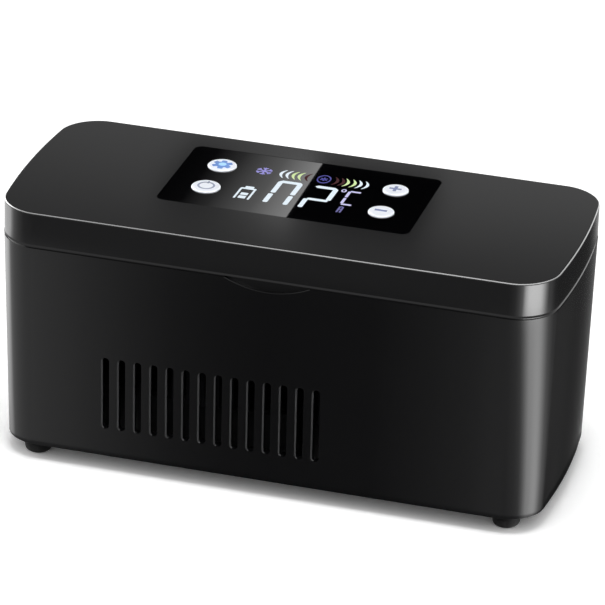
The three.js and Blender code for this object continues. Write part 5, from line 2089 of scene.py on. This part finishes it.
    def stroke(self, start: Flat, angle: float, near: float, far: float, half: float) -> list[Flat]:
        """Draws a straight stroke.

        Args:
            start: Point that its ends are measured from.
            angle: Its direction in degrees.
            near: Where it begins along the direction.
            far: Where it ends.
            half: Half its width.

        Returns:
            Its outline.
        """
        turn = math.radians(angle)
        cos, sin = math.cos(turn), math.sin(turn)
        ends = ((near, -half), (far, -half), (far, half), (near, half))
        return [(start[0] + d * cos - s * sin, start[1] + d * sin + s * cos) for d, s in ends]

    def wave(self, x: float, side: int) -> list[Flat]:
        """Draws one crescent.

        Args:
            x: Outermost x of its middle.
            side: 1 where it opens to the right, -1 to the left.

        Returns:
            Its outline.
        """
        tip = self.wave_sag - self.wave_thick * self.wave_tip_share
        shares = [2 * i / self.wave_steps - 1 for i in range(self.wave_steps + 1)]
        outer = [(x + side * self.wave_sag * t * t, self.wave_y + self.wave_half * t) for t in shares]
        inner = [
            (x + side * (self.wave_thick + tip * t * t), self.wave_y + self.wave_half * t) for t in shares
        ]
        return outer + inner[::-1]

    def ring_symbol(self) -> list[list[Flat]]:
        """Draws the ring between the waves, in two halves round a small wheel.

        Returns:
            Outlines of the halves and the wheel's three strokes.
        """
        x, y = self.ring_centre
        shapes: list[list[Flat]] = []
        for start in (0, 180):
            first = start + self.ring_pause
            last = start + 180 - self.ring_pause
            half = arc((x, 0), self.ring_outer, first, last, 20)
            half += arc((x, 0), self.ring_inner, last, first, 20)
            shapes.append([(u, y + v * self.ring_tall) for u, v in half])
        for angle in (30, 90, 150):
            reach = self.wheel_reach
            shapes.append(self.stroke(self.ring_centre, angle, -reach, reach, self.wheel_half))
        return shapes


# Studio


@dataclass(frozen=True)
class Stop:
    """A place on a side wall, its normal's angle from the front, and the radiances it mirrors."""

    place: Vector
    angle: float
    base: float
    lid: float
    crest: float

    def normal(self, tilt: float) -> Vector:
        """Gives the outward direction.

        Args:
            tilt: How far it is tilted up, in radians.

        Returns:
            The direction.
        """
        turn = math.radians(self.angle)
        flat = Vector((math.sin(turn), -math.cos(turn), 0))
        return flat * math.cos(tilt) + Vector((0, 0, math.sin(tilt)))


@dataclass
class Studio:
    """Floor, light, the cards that the gloss mirrors, and the camera."""

    # Angle, base high and low, lid, crest
    left_corner: ClassVar[tuple[tuple[float, ...], ...]] = (
        (-88, 0.5, 0.3, 0.7, 7),
        (-70, 0.58, 0.36, 0.8, 10),
        (-60, 1.4, 0.82, 1.3, 16),
        (-50, 2.6, 1.5, 2.3, 24),
        (-45, 2.9, 1.46, 3.2, 28),
        (-40, 1.4, 0.94, 3.9, 30),
        (-36, 1.2, 0.98, 2.4, 30),
        (-32, 1.1, 1.0, 1.4, 25),
        (-24, 1.1, 1.0, 0.87, 18),
        (-15, 1.0, 1.0, 0.45, 14),
        (-5, 1.0, 1.0, 0.4, 13),
    )
    # Distance from the middle, base, crest
    front: ClassVar[tuple[tuple[float, ...], ...]] = (
        (-92, 1.1, 13),
        (-84, 0.89, 13),
        (-76, 0.76, 13),
        (-68, 0.6, 14),
        (-52, 0.37, 15),
        (-36, 0.19, 14),
        (-20, 0.11, 15),
        (0, 0.06, 16),
        (40, 0.08, 18),
        (60, 0.22, 19),
        (76, 0.36, 20),
        (84, 0.5, 21),
        (90, 0.54, 21),
    )
    # Angle, base, lid, crest
    right_corner: ClassVar[tuple[tuple[float, ...], ...]] = (
        (5, 0.6, 0.47, 22),
        (10, 0.74, 0.66, 22),
        (15, 0.9, 1.5, 22),
        (20, 1.4, 3.4, 22),
        (24, 2.8, 13.5, 22),
        (28, 5.2, 19.5, 22),
        (32, 7.8, 20.0, 22),
        (40, 8.9, 18.5, 20),
        (44, 8.7, 16.0, 18),
        (48, 7.2, 9.5, 17),
        (52, 4.7, 3.8, 16),
        (56, 2.7, 1.1, 14),
        (60, 1.4, 0.9, 12),
        (65, 0.8, 0.4, 10),
        (70, 0.4, 0.17, 9),
        (80, 0.13, 0.07, 7),
        (86, 0.09, 0.05, 6),
    )
    # Distance from the middle, base, lid
    right_end: ClassVar[tuple[tuple[float, ...], ...]] = (
        (-20, 0.08, 0.05),
        (-10, 0.06, 0.045),
        (0, 0.055, 0.045),
        (10, 0.07, 0.05),
        (20, 0.11, 0.14),
        (25, 0.14, 0.3),
        (29, 0.18, 0.45),
    )
    # Angle, base, lid
    rear_corner: ClassVar[tuple[tuple[float, ...], ...]] = (
        (98, 0.42, 1.0),
        (101, 0.34, 0.8),
        (104, 0.25, 0.56),
    )
    under_share: float = 0.7
    toe_share: float = 0.4
    slip_share: float = 0.155
    slip_end: float = 76.0
    low_share: float = 0.78
    steps: ClassVar[tuple[float, ...]] = (22.0, 40.0, 56.0, 72.0)

    azimuth: float = 15.54
    elevation: float = 25.635
    roll: float = 1.679
    target: Point = (1.061, -6.566, 61.0)
    distance: float = 1618.97
    lens: float = 261.08
    shift_x: float = 0.0062
    shift_y: float = 0.0022
    fill: float = 0.75
    paper: float = 1.36
    film_width: float = 36.0
    far_clip: float = 50.0
    floor_half: float = 6000.0
    softbox_place: Point = (0.0, -0.12, 1.2)
    softbox_size: Flat = (0.3, 0.25)
    softbox_light: float = 0.25
    front_lid: float = 0.34
    end_crest: float = 6.0
    card_level: float = 0.5
    card_low: float = 0.6
    under_glow: float = 0.02
    over_rim: float = 4.0
    over_lid: float = 30.0
    crest_tilts: Flat = (28.0, 62.0)
    crest_away: float = 1100.0
    rear_away: float = 1250.0
    glare_away: float = 1200.0
    glare_edge: float = -10.0

    # Levels of the floor card's rows near the base's lower edge, from that edge
    foot_steps: ClassVar[tuple[float, ...]] = (-0.7, 0.25, 0.8)
    # Place of each column of the rear card, and its glow in the two front and the two rear rows
    rear_columns: ClassVar[tuple[tuple[float, ...], ...]] = (
        (-700, 0.22, 0.48),
        (-106, 0.22, 0.48),
        (106, 0.19, 0.62),
        (700, 0.19, 0.62),
    )
    rear_rows: ClassVar[tuple[float, ...]] = (-1200, -45, 45, 1200)
    # Place and glow of the glare card's columns, and place and slant of its rows
    glare_columns: ClassVar[tuple[Flat, ...]] = (
        (-53, 0.0),
        (-42, 0.01),
        (-32, 0.14),
        (-16, 0.6),
        (-2.2, 1.5),
        (-2.1, 0.0),
        (46, 0.0),
    )
    glare_rows: ClassVar[tuple[Flat, ...]] = ((-19.5, 0.9), (35.5, 0.0))

    def build(self) -> None:
        """Makes the whole studio."""
        self.world()
        self.floor()
        self.camera()
        self.lamp("overhead_softbox", self.softbox_place, self.softbox_size, self.softbox_light)
        self.floor_card()
        self.crest_card()
        self.rear_card()
        self.glare_card()

    def axes(self) -> tuple[Vector, Vector, Vector]:
        """Gives the camera's right, up and backward directions.

        Returns:
            Three unit vectors.
        """
        a = math.radians(self.azimuth)
        e = math.radians(self.elevation)
        r = math.radians(self.roll)
        back = Vector((math.sin(a) * math.cos(e), -math.cos(a) * math.cos(e), math.sin(e)))
        right = Vector((math.cos(a), math.sin(a), 0))
        up = back.cross(right)
        return right * math.cos(r) + up * math.sin(r), up * math.cos(r) - right * math.sin(r), back

    def eye(self) -> Vector:
        """Gives the camera's place in millimetres of the part's frame."""
        return Vector(self.target) + self.axes()[2] * self.distance

    def camera(self) -> None:
        """Places the camera as the photograph was taken."""
        right, up, back = self.axes()
        data = bpy.data.cameras.new("photo_camera")
        data.lens = self.lens
        data.sensor_width = self.film_width
        data.shift_x = self.shift_x
        data.shift_y = self.shift_y
        data.clip_end = self.far_clip
        camera = bpy.data.objects.new("photo_camera", data)
        turn = Matrix((right, up, back)).transposed().to_4x4()
        camera.matrix_world = Matrix.Translation(self.eye() * MM) @ turn
        bpy.context.scene.collection.objects.link(camera)
        bpy.context.scene.camera = camera

    def world(self) -> None:
        """Lights the object evenly, and shows white to the camera and in gloss."""
        world = bpy.data.worlds.new("studio")
        bpy.context.scene.world = world
        world.use_nodes = True
        tree = world.node_tree
        tree.nodes.clear()
        white = add_node(tree, "ShaderNodeBackground", {"Color": (1, 1, 1, 1), "Strength": 1.0})
        soft = add_node(tree, "ShaderNodeBackground", {"Color": (1, 1, 1, 1), "Strength": self.fill})
        links = {"0": self.seen(tree), "1": soft.outputs[0], "2": white.outputs[0]}
        mix = add_node(tree, "ShaderNodeMixShader", None, links)
        add_node(tree, "ShaderNodeOutputWorld", None, {"Surface": mix.outputs[0]})

    def seen(self, tree: bpy.types.NodeTree) -> bpy.types.NodeSocket:
        """Gives 1 for rays from the camera, a gloss or a glass, and 0 for the rest.

        Args:
            tree: Tree that gets the nodes.

        Returns:
            The value.
        """
        path = add_node(tree, "ShaderNodeLightPath")
        links = {"0": path.outputs["Is Camera Ray"], "1": path.outputs["Is Glossy Ray"]}
        first = add_node(tree, "ShaderNodeMath", {"operation": "MAXIMUM"}, links)
        links = {"0": first.outputs[0], "1": path.outputs["Is Transmission Ray"]}
        return add_node(tree, "ShaderNodeMath", {"operation": "MAXIMUM"}, links).outputs[0]

    def floor(self) -> None:
        """Lays a white floor that keeps the object's shadow."""
        material = bpy.data.materials.new("white_floor")
        material.use_nodes = True
        tree = material.node_tree
        tree.nodes.clear()
        paint = add_node(tree, "ShaderNodeBsdfDiffuse", {"Color": linear("fafafa")})
        white = (self.paper, self.paper, self.paper, 1)
        bright = add_node(tree, "ShaderNodeBsdfDiffuse", {"Color": white})
        links = {"0": self.seen(tree), "1": paint.outputs[0], "2": bright.outputs[0]}
        mix = add_node(tree, "ShaderNodeMixShader", None, links)
        add_node(tree, "ShaderNodeOutputMaterial", None, {"Surface": mix.outputs[0]})
        corners = [(side_x * self.floor_half, side_y * self.floor_half, 0) for side_x, side_y in CORNERS]
        sheet = bmesh.new()
        sheet.faces.new([sheet.verts.new(corner) for corner in corners])
        new_object(sheet, "floor", material)

    def lamp(self, name: str, place: Point, size: Flat, light: float) -> None:
        """Hangs a rectangular softbox that faces the object and that no gloss mirrors.

        Args:
            name: Name of the lamp.
            place: Its place in metres.
            size: Width and height in metres.
            light: How bright it makes white paper under it, where 1 is full white.
        """
        data = bpy.data.lights.new(name, "AREA")
        data.shape = "RECTANGLE"
        data.size, data.size_y = size
        lamp = bpy.data.objects.new(name, data)
        lamp.location = place
        away = lamp.location.length
        data.energy = light * math.pi**2 * away**2
        lamp.rotation_mode = "QUATERNION"
        lamp.rotation_quaternion = lamp.location.to_track_quat("Z", "Y")
        lamp.visible_glossy = False
        bpy.context.scene.collection.objects.link(lamp)

    def mirrored(self, place: Vector, normal: Vector) -> Vector:
        """Gives the direction in which the camera sees by way of a mirror at place."""
        back = (self.eye() - place).normalized()
        return normal * (2 * back.dot(normal)) - back

    def card(self, name: str, grid: Sequence[Sequence[Vector]], glow: Sequence[Sequence[float]]) -> None:
        """Makes a lit card that only gloss sees.

        Args:
            name: Name of the card.
            grid: Rows of points in millimetres of the part's frame.
            glow: Radiance at each point.
        """
        sheet = bmesh.new()
        rows = [[sheet.verts.new(point * MM) for point in row] for row in grid]
        for low, high in zip(rows, rows[1:]):
            for i in range(len(low) - 1):
                sheet.faces.new((low[i], low[i + 1], high[i + 1], high[i]))
        mesh = bpy.data.meshes.new(name)
        sheet.to_mesh(mesh)
        sheet.free()
        values = mesh.attributes.new("glow", "FLOAT", "POINT")
        values.data.foreach_set("value", [value for row in glow for value in row])
        material = bpy.data.materials.new(name)
        material.use_nodes = True
        tree = material.node_tree
        tree.nodes.clear()
        read = add_node(tree, "ShaderNodeAttribute", {"attribute_name": "glow"})
        links = {"Strength": read.outputs["Fac"]}
        light = add_node(tree, "ShaderNodeEmission", {"Color": (1, 1, 1, 1)}, links)
        add_node(tree, "ShaderNodeOutputMaterial", None, {"Surface": light.outputs[0]})
        mesh.materials.append(material)
        card = bpy.data.objects.new(name, mesh)
        bpy.context.scene.collection.objects.link(card)
        for ray in ("camera", "diffuse", "transmission", "volume_scatter", "shadow"):
            setattr(card, f"visible_{ray}", False)

    def walls(self, z: float) -> list[Stop]:
        """Walks round the side walls that the camera sees.

        Args:
            z: Level of the walk.

        Returns:
            Places with what the gloss mirrors there.
        """
        half_x = CASE.length / 2
        half_y = CASE.width / 2
        slip = self.slip_share * (self.slip_end - z) if z < CASE.rim_top + 1 else 0.0
        found: list[Stop] = []
        for angle, high, low, lid, crest in self.left_corner:
            base = low + (high - low) * z / CASE.rim_top
            found.append(Stop(self.on_corner(-1, angle), angle, base, lid, crest))
        for x, base, crest in self.front:
            found.append(Stop(Vector((x, CASE.shift - half_y, 0)), 0, base, self.front_lid, crest))
        for angle, base, lid, crest in self.right_corner:
            share = min(max(min(angle, 88 - angle) / 20, 0), 1)
            here = angle + slip * share
            low = self.low_share + (1 - self.low_share) * z / CASE.rim_top
            found.append(Stop(self.on_corner(1, here), here, base * low, lid, crest))
        for y, base, lid in self.right_end:
            x = half_x - CASE.end_bow * (y / half_y) ** 2
            angle = 90 + math.degrees(math.atan(2 * CASE.end_bow * y / half_y**2))
            found.append(Stop(Vector((x, y + CASE.shift, 0)), angle, base, lid, self.end_crest))
        for angle, base, lid in self.rear_corner:
            turn = math.radians(angle)
            out = CASE.corner_radius
            middle = (half_x - CASE.end_bow / 2 - out, half_y - out + CASE.shift)
            place = Vector((middle[0] + out * math.sin(turn), middle[1] - out * math.cos(turn), 0))
            found.append(Stop(place, angle, base, lid, self.end_crest))
        return found

    def on_corner(self, side: int, angle: float) -> Vector:
        """Gives the place on a front corner whose normal has this angle from the front.

        Args:
            side: -1 for the left corner, 1 for the right corner.
            angle: The normal's angle towards the right, in degrees.

        Returns:
            The place, at the ground.
        """
        turn = math.radians(angle)
        radius = CASE.corner_radius
        half_y = CASE.width / 2
        x = side * (CASE.length / 2 - radius) + radius * math.sin(turn)
        y = -(half_y - radius) - radius * math.cos(turn)
        return Vector((x - side * CASE.end_bow * (y / half_y) ** 2, y + CASE.shift, 0))

    def floor_card(self) -> None:
        """Lays what the side walls mirror on the floor round the case."""
        lean = math.atan(CASE.draft_inset / (CASE.rim_top - CASE.bottom))
        levels = [self.card_low] + [CASE.bottom + step for step in self.foot_steps]
        rows = [(z, lean) for z in (*levels, *self.steps, CASE.rim_top)]
        rows += [(CASE.rim_top + self.over_rim, 0.0), (CASE.lid_top + self.over_lid, 0.0)]
        under = self.walls(0.0)
        ground = Vector((0, 0, self.card_level))
        grid = [[stop.place * self.under_share + ground for stop in under]]
        glow = [[self.under_glow for _ in under]]
        for z, tilt in rows:
            stops = self.walls(z)
            line: list[Vector] = []
            for stop in stops:
                start = stop.place + Vector((0, 0, z))
                ray = self.mirrored(start, stop.normal(-tilt))
                line.append(start + ray * ((self.card_level - z) / ray.z))
            grid.append(line)
            if tilt == 0.0:
                glow.append([stop.lid for stop in stops])
            elif z < CASE.bottom + self.foot_steps[-1]:
                glow.append([self.toe_share * stop.base for stop in stops])
            else:
                glow.append([stop.base for stop in stops])
        self.card("floor_card", grid, glow)

    def crest_card(self) -> None:
        """Hangs the light that the lid's rounded top edge mirrors as a thin line."""
        stops = self.walls(CASE.lid_top)
        grid: list[list[Vector]] = []
        for tilt in self.crest_tilts:
            line: list[Vector] = []
            for stop in stops:
                start = stop.place + Vector((0, 0, CASE.lid_top))
                ray = self.mirrored(start, stop.normal(math.radians(tilt)))
                line.append(start + ray * self.crest_away)
            grid.append(line)
        self.card("crest_card", grid, [[stop.crest for stop in stops]] * len(grid))

    def on_top(self, x: float, y: float, away: float) -> Vector:
        """Gives where the camera sees a card by way of the lid's top.

        Args:
            x: Place on the lid's top.
            y: The same, in the case's own frame.
            away: Distance of the card in millimetres.

        Returns:
            The point on the card.
        """
        up = Vector((0, 0, 1))
        middle = Vector((0, CASE.shift, CASE.lid_top))
        facing = self.mirrored(middle, up)
        start = Vector((x, y + CASE.shift, CASE.lid_top))
        ray = self.mirrored(start, up)
        return start + ray * ((away - (start - middle).dot(facing)) / ray.dot(facing))

    def rear_card(self) -> None:
        """Stands the grey card that the lid's top mirrors behind the case."""
        columns = self.rear_columns
        grid = [[self.on_top(x, y, self.rear_away) for x, _, _ in columns] for y in self.rear_rows]
        front = [glow for _, glow, _ in columns]
        rear = [glow for _, _, glow in columns]
        self.card("rear_card", grid, [front, front, rear, rear])

    def glare_card(self) -> None:
        """Stands the small card that the panel mirrors: black, with one light that ends sharply."""
        grid: list[list[Vector]] = []
        for y, slant in self.glare_rows:
            places = [x + slant * (x > self.glare_edge) for x, _ in self.glare_columns]
            grid.append([self.on_top(x, y, self.glare_away) for x in places])
        self.card("glare_card", grid, [[glow for _, glow in self.glare_columns] for _ in grid])


def main() -> None:
    """Builds the whole scene in order."""
    logging.basicConfig(level=logging.INFO, format="%(name)s: %(message)s")
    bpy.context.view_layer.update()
    Studio().build()
    base = Base()
    keys = Keys()
    lid = Lid()
    base.build()
    Cooler().build()
    Power().build()
    lid.build(base, keys)
    keys.build()
    Display().build(lid, keys)
    bpy.context.scene.view_settings.view_transform = "Standard"


if __name__ == "__main__":
    main()
